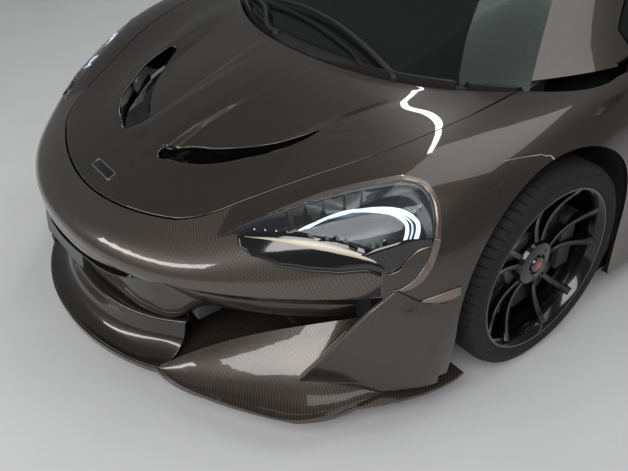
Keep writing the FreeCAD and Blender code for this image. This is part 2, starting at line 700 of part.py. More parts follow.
uprights = {}
linkage = {}
for name, y, r, w, rim_r, disc_r, x, spread in (
        ("front", front_axle_y, front_tyre_radius, front_tyre_width, front_rim_radius, disc_radius_front,
         front_wheel_x, 80.0),
        ("rear", rear_axle_y, rear_tyre_radius, rear_tyre_width, rear_rim_radius, disc_radius_rear,
         rear_wheel_x, 90.0)):
    linkage[name] = arms(x, y, r, 1, spread) + arms(-x, y, r, -1, spread)
    for side, hand in ((1, "left"), (-1, "right")):
        corner = name + "_" + hand
        made["tyre_" + corner] = tyre(side * x, y, r, w, rim_r, side)
        made["rim_" + corner] = rim(side * x, y, r, w, rim_r, disc_r, side)
        uprights[corner] = upright(side * x, y, r, disc_r, side)
made["knuckle_left"] = uprights["front_left"]
made["knuckle_right"] = uprights["front_right"]
made["rear_uprights"] = Part.makeCompound([uprights["rear_left"], uprights["rear_right"]])
made["front_arms"] = Part.makeCompound(linkage["front"])
made["rear_arms"] = Part.makeCompound(linkage["rear"])

# Nose: splitter, dive planes, corner blades, lip and grille
splitter_top = floor_height + splitter_wall
nose_z = splitter_top * drawn_height / height
splitter_path = [
    (0.0, -1085.0), ((214.0, -1058.0), (396.0, -981.0)), ((478.0, -964.0), (560.0, -925.0)),
    ((690.0, -850.0), (786.0, -780.0)), ((830.0, -705.0), (850.0, -600.0)), (880.0, -400.0), (530.0, -400.0),
    (530.0, 149.7), (0.0, 149.7),
]
made["splitter"] = whole(plan_prism(splitter_path, 0.0, floor_height, splitter_top))

# The plane sweeps from its edge on the splitter up to an inner crest: poles of its upper skin, one row a station
lip_wall = 8.0
foot = nose_z + seat_gap
edge_z = foot + lip_wall * drawn_height / height
PLANE = [
    [(398, -977, edge_z), (402, -974, edge_z), (405, -971, 128), (408, -968, 134)],
    [(462, -974, edge_z), (456, -950, edge_z), (450, -930, 146), (446, -915, 168)],
    [(548, -944, edge_z), (528, -905, edge_z), (506, -880, 154), (490, -862, 204)],
    [(678, -868, edge_z), (632, -815, edge_z), (594, -770, 170), (566, -742, 240)],
    [(802, -795, edge_z), (748, -725, edge_z), (694, -670, 178), (650, -628, 264)],
    [(846, -672, edge_z), (806, -612, edge_z), (752, -575, 186), (708, -530, 272)],
    [(862, -520, edge_z), (836, -480, edge_z), (800, -460, 196), (750, -445, 274)],
    [(888, -386, edge_z), (874, -386, edge_z), (840, -386, 190), (792, -386, 260)],
]
made["dive_planes"] = both(slab(PLANE, V(0, 0, -lip_wall)))
below_plane = slab(PLANE, V(0, 0, -300)).translated(V(0, 0, seat_gap))

# The blade carries the fender's skin forward and down to a sharp edge: z; front, two middle points and rear (x, v)
BLADE = [
    (126.0, (742, -701), (812, -600), (884, -508), (919.5, -436.5)),
    (157.0, (714, -711), (800, -606), (884, -508), (920, -436.5)),
    (300.0, (783, -628), (838, -568), (892, -496), (920, -436.5)),
    (400.0, (831, -571), (860, -536), (895, -486), (916, -436.5)),
]
rings = []
for z, front_point, near_point, far_point, rear_point in BLADE:
    level = min(z, blade_top - seat_gap)
    skin_side = [front_point, near_point, far_point, rear_point]
    back_side = [(rear_point[0] - 12, rear_point[1]), (far_point[0] - 11, far_point[1] + 8),
                 (near_point[0] - 8, near_point[1] + 10), (front_point[0] + 1, front_point[1] + 13)]
    rings.append([(x, v, level) for x, v in skin_side + back_side])
made["corner_blades"] = both(biggest(loft(*rings).cut(below_plane)))

# The mouth's lower lip, centre outwards: poles from the splitter's edge up to the rolled rim
LIP = [
    [(0, -1066, edge_z), (0, -1034, edge_z), (0, -1012, 146), (0, -1005, 196), (0, -972, 206)],
    [(60, -1066, edge_z), (60, -1034, edge_z), (60, -1012, 146), (60, -1005, 196), (60, -972, 206)],
    [(150, -1052, edge_z), (150, -1018, edge_z), (150, -994, 146), (150, -988, 196), (150, -955, 206)],
    [(262, -1022, edge_z), (262, -988, edge_z), (260, -962, 148), (258, -954, 198), (254, -922, 208)],
    [(352, -976, edge_z), (350, -940, edge_z), (346, -906, 150), (342, -894, 200), (330, -864, 210)],
    [(386, -952, edge_z), (384, -912, edge_z), (380, -880, 152), (376, -868, 200), (362, -840, 210)],
]
made["intake_lip"] = whole(slab(LIP, V(0, lip_wall, -lip_wall)))

# Under the beak: a face that turns in to a slit and a lower band, as sections along the beak's edge.
# x, v, inward_x, inward_v, top_z, band_z
BAND = [
    (0, -1046, 0.0, 1.0, 388, 374),
    (220, -1020, -0.25, 0.97, 388, 374),
    (330, -985, -0.4, 0.92, 406, 374),
    (400, -948, -0.5, 0.87, 439.6, 370),
    (500, -890, -0.6, 0.8, 440.0, 346),
    (592, -822, -0.68, 0.73, 440.5, 340),
    (686, -734, -0.74, 0.67, 441.2, 338),
    (775, -632, -0.78, 0.62, 441.9, 340),
    (806, -590, -0.8, 0.6, 442.3, 350),
]
rings = []
for x, v, ix, iv, top_z, band_z in BAND:
    slit_z = top_z - 0.75 * (top_z - 390) - 4
    profile = [(3, top_z), (32, slit_z), (58, slit_z - 3), (40, slit_z - 7), (56, band_z), (70, band_z + 3),
               (70, slit_z + 6), (20, top_z)]
    rings.append([(x + d * ix, v + d * iv, z) for d, z in profile])
made["nose_band"] = whole(loft(*rings))
grille = box(0, 380, beam_y - seat_gap - 8, beam_y - seat_gap, 170, 390)
made["front_grille"] = whole(grille)
lip = loft([(0, -1050, foot), (240, -990, foot), (392, -930, foot), (380, -880, foot), (0, -960, foot)],
           [(0, -1003, 200), (190, -975, 200), (374, -885, 200), (350, -850, 200), (0, -960, 200)])
made["intake_lip"] = whole(lip)
made["side_radiators"] = both(block(560, 700, -500, -450, foot, 390))

# Sill skirts
skirt = plan_prism([(620.3, 1560.5), (780.3, 1560.5), (780.3, 400.0), (925.0, 392.0), (935.0, 1400.0),
                    (945.0, 2250.0), (620.3, 2250.0)], 0.0, 103.0, 115.0)
made["side_skirts"] = both(skirt)

# Tail
diffuser = side_prism([(1565.0, 100.0), (2300.0, 100.0), (3490.0, 190.0), (3490.0, 200.0), (3300.0, 200.0),
                       (3230.0, 200.0), (2300.0, 110.0), (1565.0, 110.0)], 0.0, 0.0, 600.0)
fin_path = [(2880.0, 150.0), (3490.0, 198.0), (3490.0, 112.0), (3420.0, 104.0), (2960.0, 104.0)]
for fin_x in (110.0, 250.0, 390.0, 530.0):
    diffuser = diffuser.fuse(side_prism(fin_path, 0.0, fin_x, fin_x + fin_wall))
made["diffuser"] = whole(diffuser)
# The tail's lower panel bulges at mid height: z and how far it stands out
tail_edge = [(0.0, 3519.0), (220.0, 3512.0), (430.0, 3492.0), (640.0, 3460.0), (780.0, 3430.0), (836.0, 3412.0)]
rings = []
for z, swell in ((300.0, 0.55), (380.0, 0.9), (450.0, 1.0), (560.0, 0.8)):
    rings.append([(x, bumper_in + (v - bumper_in) * swell, z) for x, v in tail_edge]
                 + [(836.0, bumper_in, z), (0.0, bumper_in, z)])
made["rear_bumper"] = whole(loft(*rings))
tips = rod(at(75.0, 3300.0, 660.0), at(75.0, 3500.0, 660.0), 48.0)
rear_grille = box(0, px(800), py(bumper_in), py(bumper_in) + 8, pz(560) + seat_gap, pz(800)).cut(
    rod(at(75.0, 3300.0, 660.0), at(75.0, 3500.0, 660.0), 48.0 + seat_gap))
made["rear_grille"] = whole(rear_grille)
made["exhaust_tips"] = both(tips.cut(rod(at(75.0, 3330.0, 660.0), at(75.0, 3520.0, 660.0), 42.0)))
lamp_tail = plan_prism([(420.0, 3460.0), ((640.0, 3444.0), (812.0, 3412.0)), (812.0, bumper_in), (420.0, bumper_in)],
                       0.0, pz(800.0) + seat_gap, pz(830.0))
made["tail_lamps"] = both(lamp_tail)
wing = loft([(0, 3270, 1000), (0, 3400, 1030), (0, 3519, 1072), (0, 3400, 1012)],
            [(700, 3250, 1000), (700, 3380, 1030), (700, 3500, 1072), (700, 3380, 1012)])
pylon = block(400, 412, 3280, 3390, 800, 1018).common(outside.translated(V(0, 0, seat_gap)))
made["rear_wing"] = whole(join(wing, biggest(pylon)))
mirror = loft([(905, 420, 880), (905, 490, 880), (905, 500, 960), (905, 430, 960)],
              [(1040, 450, 890), (1040, 500, 890), (1040, 505, 950), (1040, 455, 950)])
mirror = join(mirror, rod(at(915.0, 470.0, 890.0), at(862.0, 500.0, 760.0), 14))
mirror = biggest(mirror.common(outside.translated(V(seat_gap, 0, seat_gap))))
made["mirror_left"] = mirror
made["mirror_right"] = mirrored(mirror)
wiper_skin = thick(house_net, -wiper_depth, wiper_depth + glass_step - curved_gap, core_house)
wiper_path = [(60.0, -118.0), (78.0, -128.0), (560.0, 160.0), (550.0, 172.0)]
wiper = wiper_skin.common(plan_prism(wiper_path))
other = mirrored(biggest(wiper_skin.common(plan_prism(far_wiper_path))))
made["wipers"] = Part.makeCompound([biggest(wiper), other])

os.makedirs("parts", exist_ok=True)
for name, s in made.items():
    s.exportStep("parts/" + name + ".step")
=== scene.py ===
"""A supercar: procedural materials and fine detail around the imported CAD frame.

Metres, +Z up, nose towards -Y. Places on the front of the car are given as (x, v, z), where v runs
backwards from the front axle: y = v + FRONT. Plan lines and stations of panels are in mm.
"""

import json
import math

import bmesh
import bpy
import numpy as np
from bpy.props import FloatProperty, FloatVectorProperty, IntProperty, PointerProperty
from mathutils import Matrix, Vector
from mathutils.bvhtree import BVHTree


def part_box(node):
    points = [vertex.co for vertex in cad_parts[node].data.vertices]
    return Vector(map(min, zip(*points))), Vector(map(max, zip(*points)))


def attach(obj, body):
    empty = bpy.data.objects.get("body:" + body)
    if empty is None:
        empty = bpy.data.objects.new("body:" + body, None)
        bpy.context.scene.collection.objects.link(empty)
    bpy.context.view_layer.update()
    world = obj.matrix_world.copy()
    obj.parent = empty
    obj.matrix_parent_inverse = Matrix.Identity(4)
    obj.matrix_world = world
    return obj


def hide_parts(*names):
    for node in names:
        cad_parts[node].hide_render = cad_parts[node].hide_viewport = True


bl_info = {
    "name": "Supercar looks",
    "version": (1, 0, 0),
    "blender": (4, 5, 0),
    "location": "View3D > Sidebar > Supercar",
    "description": "Materials and fine detail for a mid-engined supercar, with its stage",
    "category": "Object",
}

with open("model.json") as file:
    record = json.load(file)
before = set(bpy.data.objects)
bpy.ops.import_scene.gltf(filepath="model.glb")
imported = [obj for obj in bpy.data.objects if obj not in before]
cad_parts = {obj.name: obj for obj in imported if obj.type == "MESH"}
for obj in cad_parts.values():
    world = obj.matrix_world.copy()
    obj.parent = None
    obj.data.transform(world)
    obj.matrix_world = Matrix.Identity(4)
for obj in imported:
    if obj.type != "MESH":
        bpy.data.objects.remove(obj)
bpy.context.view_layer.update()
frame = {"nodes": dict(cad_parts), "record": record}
BODY = "body_shell"
AXLE_Y = {"front": -1.217, "rear": 1.453}
FRONT = AXLE_Y["front"]
SIDES = ((1, "left"), (-1, "right"))
MATS = {}
TREES = {}

# Edges sharper than these stay hard, or are rounded where a piece has a bevel
HARD_EDGE = math.radians(38)
BEVEL_EDGE = math.radians(35)

# Plan lines of the panels in mm, (x, v), as the CAD has them; a pair of points is an arc
BONNET_FRONT = [(0.0, -936.0), ((208.0, -907.6), (373.0, -842.0)),
                ((430.0, -790.0), (470.0, -722.0)), (566.0, -537.0),
                ((668.0, -300.0), (700.0, 60.0))]
BONNET_REAR = [(-700.0, 60.0), ((0.0, -185.0), (700.0, 60.0))]
VENT_FRONT = [(92.0, -716.0), ((104.0, -745.0), (150.0, -738.0)),
              ((262.0, -690.0), (345.0, -600.0)), ((400.0, -520.0), (424.0, -428.0))]
VENT_REAR = [(92.0, -716.0), ((104.0, -688.0), (130.0, -662.0)),
             ((160.0, -643.0), (190.0, -630.0)), ((310.0, -530.0), (394.0, -420.0)),
             ((410.0, -404.0), (424.0, -428.0))]
LAMP_INNER = [(510.0, -807.0), ((600.0, -650.0), (746.0, -430.0)),
              ((822.0, -388.0), (890.0, -432.0))]
LAMP_OUTER = [(510.0, -807.0), (569.0, -749.0), ((735.0, -612.0), (838.0, -522.0)),
              ((884.0, -478.0), (890.0, -432.0))]
SCREEN_HALF = [(0.0, -143.5), ((400.0, -72.0), (712.0, 95.0)), ((600.0, 280.0), (455.0, 540.0)),
               ((220.0, 500.0), (0.0, 495.0))]

# Plain finishes: 8-bit colour, roughness, metal, grain per metre and its depth, spread, clear coat
PLAIN = {
    "gloss_black": ((10, 10, 11), 0.12, 0.2, 900.0, 0.02, 0.2, 1.0),
    "wheel_black": ((16, 16, 18), 0.2, 0.6, 700.0, 0.03, 0.2, 0.8),
    "black_plastic": ((22, 22, 23), 0.6, 0.0, 900.0, 0.35),
    "dark_trim": ((30, 30, 31), 0.7, 0.0, 1200.0, 0.4),
    "alloy": ((150, 150, 150), 0.42, 0.9, 500.0, 0.2),
    "dark_alloy": ((82, 82, 84), 0.5, 0.8, 300.0, 0.3),
    "engine_alloy": ((120, 120, 118), 0.6, 0.7, 260.0, 0.5),
    "chrome": ((220, 221, 224), 0.06, 1.0, 500.0, 0.01, 0.03),
    "satin_silver": ((190, 186, 176), 0.3, 0.8, 500.0, 0.05, 0.05),
    "disc_iron": ((105, 104, 102), 0.38, 0.85, 300.0, 0.15),
    "rubber": ((17, 17, 18), 0.82, 0.0, 420.0, 0.45),
    "red_enamel": ((190, 24, 20), 0.25, 0.0, 500.0, 0.02, 0.1, 0.6),
    "seat_leather": ((44, 42, 42), 0.55, 0.0, 260.0, 0.5, 0.15),
    "exhaust_steel": ((150, 142, 134), 0.28, 1.0, 300.0, 0.1),
    "tail_red": ((120, 8, 8), 0.15, 0.0, 300.0, 0.05, 0.2, 1.0),
    "plate_green": ((64, 76, 72), 0.35, 0.0, 500.0, 0.1),
    "marker_grey": ((122, 112, 100), 0.15, 0.3, 260.0, 0.3),
    "strip_beige": ((214, 204, 186), 0.3, 0.0, 600.0, 0.1),
    "glass_frit": ((7, 7, 8), 0.25, 0.0, 900.0, 0.02),
    "screen_black": ((6, 7, 7), 0.9, 0.0, 300.0, 0.0),
    "mirror_silver": ((205, 208, 212), 0.02, 1.0, 500.0, 0.0, 0.02),
    "cabin_dark": ((11, 13, 13), 0.75, 0.0, 700.0, 0.4),
    "grille_black": ((14, 14, 15), 0.35, 0.1, 700.0, 0.1),
    "lens_glass": ((30, 34, 44), 0.03, 0.3, 500.0, 0.0, 0.2, 1.0),
}

# Finish of a CAD node: by its own name where it has a row here, and by its material slot otherwise
NODE_FINISH = {
    "windscreen": "glass_screen", "headlamps": "glass_clear", "front_bumper": "bumper_carbon",
    "dashboard": "cabin_dark", "console": "cabin_dark", "tub": "cabin_dark",
    "arch_liners": "cabin_dark", "front_grille": "grille_black", "side_radiators": "grille_black",
    "rear_grille": "grille_black",
}
SLOT_FINISH = {
    "paint": "paint", "carbon": "carbon", "clear_glass": "glass_dark", "tail_lens": "tail_red",
    "tyre": "rubber", "wheel_black": "wheel_black", "tub_carbon": "carbon_black",
    "frame_alloy": "alloy", "arm_alloy": "dark_alloy", "engine_alloy": "engine_alloy",
    "black_plastic": "black_plastic", "trim_dark": "dark_trim", "seat_leather": "seat_leather",
    "wheel_leather": "seat_leather", "exhaust_steel": "exhaust_steel",
}


# Materials


def srgb(r, g, b):
    """Linear colour for an 8-bit one."""
    return tuple(((c / 255 + 0.055) / 1.055) ** 2.4 if c > 10 else c / 255 / 12.92
                 for c in (r, g, b)) + (1.0,)


def scaled(colour, factor):
    """A lighter or darker colour."""
    return tuple(min(1.0, c * factor) for c in colour[:3]) + (1.0,)


class Nodes:
    """A short way to write a node material."""

    def __init__(self, name):
        self.mat = bpy.data.materials.new(name)
        self.mat.use_nodes = True
        self.tree = self.mat.node_tree
        self.shader = self.tree.nodes["Principled BSDF"]
        self.out = self.tree.nodes["Material Output"]
        self.coords = None
        MATS[name] = self.mat

    def plug(self, value, socket):
        """Links an output to a socket, or sets the socket to a constant."""
        if hasattr(value, "is_output"):
            self.tree.links.new(value, socket)
        else:
            socket.default_value = value

    def add(self, kind, values=None, **settings):
        """A node of a kind, with values or links for its sockets and settings of its own."""
        node = self.tree.nodes.new("ShaderNode" + kind)
        for key, value in settings.items():
            setattr(node, key, value)
        for key, value in (values or {}).items():
            self.plug(value, node.inputs[key])
        return node

    def set(self, **values):
        """Sets the main shader's sockets."""
        for key, value in values.items():
            self.plug(value, self.shader.inputs[key.replace("_", " ")])

    def place(self, scale=(1, 1, 1)):
        """The place on the piece in its own metres, scaled."""
        if self.coords is None:
            self.coords = self.add("TexCoord").outputs["Object"]
        return self.add("Mapping", {"Vector": self.coords, "Scale": scale}).outputs["Vector"]

    def noise(self, scale, detail=3.0):
        """Soft noise with scale cells per metre."""
        values = {"Vector": self.place(), "Scale": scale, "Detail": detail, "Roughness": 0.5}
        return self.add("TexNoise", values).outputs["Fac"]

    def ramp(self, fac, *stops):
        """A colour ramp; each stop is a place with a colour or a grey."""
        node = self.add("ValToRGB", {"Fac": fac})
        for element, (pos, colour) in zip(node.color_ramp.elements, stops):
            element.position = pos
            element.color = colour if isinstance(colour, tuple) else (colour,) * 3 + (1.0,)
        return node.outputs["Color"]

    def bump(self, height, strength, distance=0.001):
        """Grain in the surface, up to a distance in metres."""
        values = {"Height": height, "Strength": strength, "Distance": distance}
        self.set(Normal=self.add("Bump", values).outputs["Normal"])

    def maths(self, op, a, b=0.0):
        return self.add("Math", {0: a, 1: b}, operation=op).outputs[0]


def finish_plain(name, colour, rough, metallic=0.0, grain=400.0, depth=0.2, spread=0.12, coat=0.0):
    """A moulded, cast or satin finish: fine grain in height, a little change in tone and gloss."""
    n = Nodes(name)
    fine = n.noise(grain, 4.0)
    slow = n.noise(6.0, 2.0)
    dark, light = scaled(colour, 1 - spread), scaled(colour, 1 + spread)
    n.set(Base_Color=n.ramp(slow, (0.3, dark), (0.7, light)), Metallic=metallic,
          Coat_Weight=coat, Coat_Roughness=0.05)
    n.set(Roughness=n.ramp(fine, (0.2, rough * 0.85), (0.8, min(1.0, rough * 1.15))))
    n.bump(fine, depth)


def finish_paint(name, colour, flake):
    """Metallic paint under clear coat; flake is how many flakes there are per metre."""
    n = Nodes(name)
    flakes = n.add("TexVoronoi", {"Vector": n.place(), "Scale": flake}, feature="F1")
    spark = n.add("SeparateColor", {"Color": flakes.outputs["Color"]}).outputs[0]
    dark, light = scaled(colour, 0.72), scaled(colour, 1.5)
    n.set(Base_Color=n.ramp(spark, (0.1, dark), (0.95, light)), Metallic=0.8, Coat_Weight=1.0,
          Coat_Roughness=0.02)
    n.set(Roughness=n.ramp(spark, (0.0, 0.30), (1.0, 0.42)))
    n.bump(n.noise(1400.0, 1.0), 0.02, 0.0004)


def finish_carbon(name, dark, light, cell, plain=None):
    """Twill weave: two sets of tows, each over two and under two.

    plain is a colour that covers the weave near the middle of the car.
    """
    n = Nodes(name)
    pos = n.add("SeparateXYZ", {"Vector": n.place((1 / cell,) * 3)})
    climb = n.maths("MULTIPLY", pos.outputs["Z"], 0.6)
    u = n.maths("ADD", pos.outputs["X"], climb)
    v = n.maths("ADD", pos.outputs["Y"], climb)
    count = n.maths("FLOOR", n.maths("ADD", n.maths("FLOOR", u), n.maths("FLOOR", v)))
    over = n.maths("LESS_THAN", n.maths("FLOORED_MODULO", count, 4.0), 2.0)
    under = n.maths("SUBTRACT", 1.0, over)
    tow = n.maths("ADD", n.maths("MULTIPLY", over, n.maths("FRACT", u)),
                  n.maths("MULTIPLY", under, n.maths("FRACT", v)))
    round_tow = n.maths("SINE", n.maths("MULTIPLY", tow, math.pi))
    shade = n.maths("ADD", n.maths("MULTIPLY", over, 0.55), n.maths("MULTIPLY", round_tow, 0.45))
    colour = n.ramp(shade, (0.1, dark), (0.95, light))
    if plain:
        across = n.add("SeparateXYZ", {"Vector": n.place()}).outputs["X"]
        span = {"Value": n.maths("ABSOLUTE", across), "From Min": 0.22, "From Max": 0.42}
        bare = n.add("MapRange", span).outputs[0]
        colour = n.add("Mix", {0: bare, 6: plain, 7: colour}, data_type="RGBA").outputs[2]
    n.set(Base_Color=colour, Metallic=0.45, Roughness=0.32, Coat_Weight=1.0, Coat_Roughness=0.03)
    n.bump(round_tow, 0.05, 0.0004)


def finish_glass(name, tint, alpha, shine=1.0):
    """Glass as a thin see-through sheet; its gloss follows the angle of view, times shine."""
    n = Nodes(name)
    clear = n.add("BsdfTransparent", {"Color": tint})
    gloss = n.add("BsdfGlossy", {"Color": (1, 1, 1, 1), "Roughness": 0.01})
    fresnel = n.add("Fresnel", {"IOR": 1.5})
    film = n.add("MixShader", {0: n.maths("MULTIPLY", fresnel.outputs[0], shine),
                               1: clear.outputs[0], 2: gloss.outputs[0]})
    n.set(Base_Color=n.ramp(n.noise(40.0), (0.0, tint), (1.0, scaled(tint, 0.9))), Roughness=0.05)
    mix = n.add("MixShader", {0: alpha, 1: film.outputs[0], 2: n.shader.outputs[0]})
    n.plug(mix.outputs[0], n.out.inputs["Surface"])


def finish_light(name, colour, strength):
    """A lit strip with a little change in tone along it."""
    n = Nodes(name)
    glow = n.ramp(n.noise(90.0), (0.2, colour), (0.9, scaled(colour, 1.18)))
    n.set(Base_Color=colour, Emission_Color=glow, Emission_Strength=strength, Roughness=0.2)


# Meshes: a part is a list of vertices and a list of faces


def mesh_piece(name, part, mat, slot, body=BODY, side=1, bevel=0.0, thickness=0.0, offset=-1.0,
               replaces=()):
    """An object of a part, on the car's other side if side is -1, that rides on a body."""
    verts, faces = flipped(part, side)
    mesh = bpy.data.meshes.new(name)
    mesh.from_pydata([tuple(v) for v in verts], [], faces)
    bm = bmesh.new()
    bm.from_mesh(mesh)
    bmesh.ops.remove_doubles(bm, verts=bm.verts, dist=1e-6)
    bmesh.ops.recalc_face_normals(bm, faces=bm.faces)
    bm.to_mesh(mesh)
    bm.free()
    obj = bpy.data.objects.new(name, mesh)
    bpy.context.collection.objects.link(obj)
    mesh.materials.append(MATS[mat])
    if thickness:
        mod = obj.modifiers.new("thickness", "SOLIDIFY")
        mod.thickness, mod.offset = thickness, offset
    if bevel:
        mod = obj.modifiers.new("edge", "BEVEL")
        mod.width, mod.segments, mod.use_clamp_overlap = bevel, 2, True
        mod.limit_method, mod.angle_limit = "ANGLE", BEVEL_EDGE
    mesh.shade_smooth()
    mesh.set_sharp_from_angle(angle=HARD_EDGE)
    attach(obj, body)
    if replaces:
        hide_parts(*replaces)
    return obj


def rings_mesh(rings, closed=True, caps=True, joined=False):
    """A part through rings of one length.

    closed joins the ends of each ring, caps fills the first and last, and joined goes from the
    last ring back to the first.
    """
    n, count = len(rings[0]), len(rings)
    faces = []
    for i in range(count if joined else count - 1):
        k = (i + 1) % count
        for j in range(n if closed else n - 1):
            m = (j + 1) % n
            faces.append((i * n + j, i * n + m, k * n + m, k * n + j))
    if caps:
        faces.append(tuple(range(n))[::-1])
        faces.append(tuple(range((count - 1) * n, count * n)))
    return [p for ring in rings for p in ring], faces


def open_skin(rows):
    """A part through rows of points, open at its four edges."""
    return rings_mesh(rows, closed=False, caps=False)


def lathe(profile, steps=96, closed=True):
    """Turns (x, r) points about the X axis."""
    rings = []
    for i in range(steps):
        a = 2 * math.pi * i / steps
        rings.append([(x, r * math.sin(a), r * math.cos(a)) for x, r in profile])
    return rings_mesh(rings, closed, caps=False, joined=True)


def tube(points, radius, sides=10, caps=True):
    """A round bar along points; radius is a number or one for each point."""
    pts = [Vector(p) for p in points]
    rings = []
    up = Vector((0.31, 0.17, 0.94))
    for i, p in enumerate(pts):
        d = (pts[min(i + 1, len(pts) - 1)] - pts[max(i - 1, 0)]).normalized()
        a = d.cross(up).normalized()
        b = d.cross(a)
        r = radius[i] if isinstance(radius, (list, tuple)) else radius
        rings.append([p + (a * math.cos(t) + b * math.sin(t)) * r for t in
                      (2 * math.pi * j / sides for j in range(sides))])
    return rings_mesh(rings, caps=caps)


def merge(*parts):
    """One part from several."""
    verts, faces = [], []
    for v, f in parts:
        base = len(verts)
        verts += list(v)
        faces += [tuple(i + base for i in face) for face in f]
    return verts, faces


def moved(part, offset, turn=None):
    """A part turned about its own origin, then moved."""
    verts, faces = part
    m = Matrix.Translation(Vector(offset)) @ (turn if turn else Matrix.Identity(4))
    return [m @ Vector(v) for v in verts], faces


def flipped(part, side):
    """The same part on the car's other side when side is -1."""
    verts, faces = part
    return [Vector((v[0] * side, v[1], v[2])) for v in verts], faces


def facing(way, start=(1, 0, 0)):
    """The turn that brings a start direction, the lathe's axis if none is given, to a way."""
    return Vector(start).rotation_difference(way).to_matrix().to_4x4()


def tilt(degrees, axis="X"):
    """A turn about one of the car's axes."""
    return Matrix.Rotation(math.radians(degrees), 4, axis)


def rounded(width, depth, radius, steps=6):
    """A rounded rectangle about the origin."""
    out = []
    for k, (sx, sy) in enumerate(((1, 1), (-1, 1), (-1, -1), (1, -1))):
        for i in range(steps + 1):
            a = math.pi / 2 * (k + i / steps)
            out.append((sx * (width / 2 - radius) + radius * math.cos(a),
                        sy * (depth / 2 - radius) + radius * math.sin(a)))
    return out


def plaque(ring, levels, place):
    """Stacked copies of a ring: each level is (scale in x, scale in y, height)."""
    return rings_mesh([[place(x * sx, y * sy, h) for x, y in ring] for sx, sy, h in levels])


def pad(size, crown=0.35, puff=0.12, seams=0, u_steps=28, v_steps=20):
    """A crowned cushion about its middle; seams sinks that many sewn channels across it."""
    sx, sy, sz = (c / 2 for c in size)
    seam_depth, seam_width = 0.006, 0.12
    rings = []

    def power(c, e):
        return math.copysign(abs(c) ** e, c)

    for i in range(v_steps + 1):
        phi = -math.pi / 2 + math.pi * i / v_steps
        ring = []
        for j in range(u_steps):
            th = 2 * math.pi * j / u_steps
            x = sx * power(math.cos(phi), crown) * power(math.cos(th), crown)
            y = sy * power(math.cos(phi), crown) * power(math.sin(th), crown)
            z = sz * power(math.sin(phi), 0.55)
            swell = (1 - (x / sx) ** 2) * (1 - (y / sy) ** 2)
            if seams and z > 0:
                channel = (((y / sy + 1) / 2 * seams) % 1 - 0.5) / seam_width
                z -= seam_depth * swell * math.exp(-channel ** 2)
            ring.append((x * (1 - puff * abs(y / sy) ** 3), y * (1 - puff * abs(x / sx) ** 3),
                         z * (1 + 0.25 * swell)))
        rings.append(ring)
    return rings_mesh(rings)


# Lines


def spline(points, steps):
    """A smooth line through points."""
    pts = [Vector(p) for p in points]
    out = []
    for i in range(len(pts) - 1):
        p0, p1, p2, p3 = pts[max(i - 1, 0)], pts[i], pts[i + 1], pts[min(i + 2, len(pts) - 1)]
        for s in range(steps):
            t = s / steps
            out.append(0.5 * ((2 * p1) + (p2 - p0) * t + (2 * p0 - 5 * p1 + 4 * p2 - p3) * t * t
                              + (3 * p1 - p0 - 3 * p2 + p3) * t ** 3))
    out.append(pts[-1])
    return out


def circle(a, b, c, steps):
    """Points of the arc from a through b to c, without a."""
    d = 2 * (a[0] * (b[1] - c[1]) + b[0] * (c[1] - a[1]) + c[0] * (a[1] - b[1]))
    sq = [p[0] ** 2 + p[1] ** 2 for p in (a, b, c)]
    mx = (sq[0] * (b[1] - c[1]) + sq[1] * (c[1] - a[1]) + sq[2] * (a[1] - b[1])) / d
    my = (sq[0] * (c[0] - b[0]) + sq[1] * (a[0] - c[0]) + sq[2] * (b[0] - a[0])) / d
    t0, tm, t1 = (math.atan2(p[1] - my, p[0] - mx) for p in (a, b, c))
    turn = 2 * math.pi
    way = 1 if (tm - t0) % turn < (t1 - t0) % turn else -1
    span = (t1 - t0) % turn if way > 0 else -((t0 - t1) % turn)
    r = math.hypot(a[0] - mx, a[1] - my)
    return [(mx + r * math.cos(t0 + span * i / steps), my + r * math.sin(t0 + span * i / steps))
            for i in range(1, steps + 1)]


def outline(points, steps=12):
    """A plan line in metres from one in mm; a pair of points is an arc through the first."""
    out = [points[0]]
    for p in points[1:]:
        if isinstance(p[0], tuple):
            out += circle(out[-1], p[0], p[1], steps)
        else:
            a = out[-1]
            out += [(a[0] + (p[0] - a[0]) * i / 4, a[1] + (p[1] - a[1]) * i / 4)
                    for i in range(1, 5)]
    return [(x / 1000, y / 1000) for x, y in out]


def even(line, count):
    """The same line as count points at equal steps along it."""
    pts = np.array([tuple(p) for p in line], float)
    run = np.concatenate([[0], np.cumsum(np.linalg.norm(np.diff(pts, axis=0), axis=1))])
    at = np.linspace(0, run[-1], count)
    return np.stack([np.interp(at, run, pts[:, k]) for k in range(pts.shape[1])], axis=1)


def from_mm(row):
    """Points in the car's frame from (x, v, z) in mm."""
    return [(x / 1000, v / 1000 + FRONT, z / 1000) for x, v, z in row]


def left_of(a, b):
    """The unit normal on the left of the way from a to b, in plan."""
    d = (b - a) / np.linalg.norm(b - a)
    return np.array([-d[1], d[0]])


def gap_to(line, x, y):
    """Distance from points to a plan line."""
    best = np.full(x.shape, 9.0)
    for (ax, ay), (bx, by) in zip(line[:-1], line[1:]):
        dx, dy = bx - ax, by - ay
        t = np.clip(((x - ax) * dx + (y - ay) * dy) / max(dx * dx + dy * dy, 1e-12), 0, 1)
        best = np.minimum(best, np.hypot(x - ax - t * dx, y - ay - t * dy))
    return best


def step(a, b, x):
    """Smooth change from 0 at a to 1 at b."""
    t = np.clip((x - a) / (b - a), 0, 1)
    return t * t * (3 - 2 * t)


# Places on the CAD panels


def tree(*names):
    """A search tree over the CAD nodes of these names."""
    if names not in TREES:
        parts = []
        for name in names:
            mesh = frame["nodes"][name].data
            parts.append(([v.co.copy() for v in mesh.vertices],
                          [tuple(p.vertices) for p in mesh.polygons]))
        TREES[names] = BVHTree.FromPolygons(*merge(*parts))
    return TREES[names]


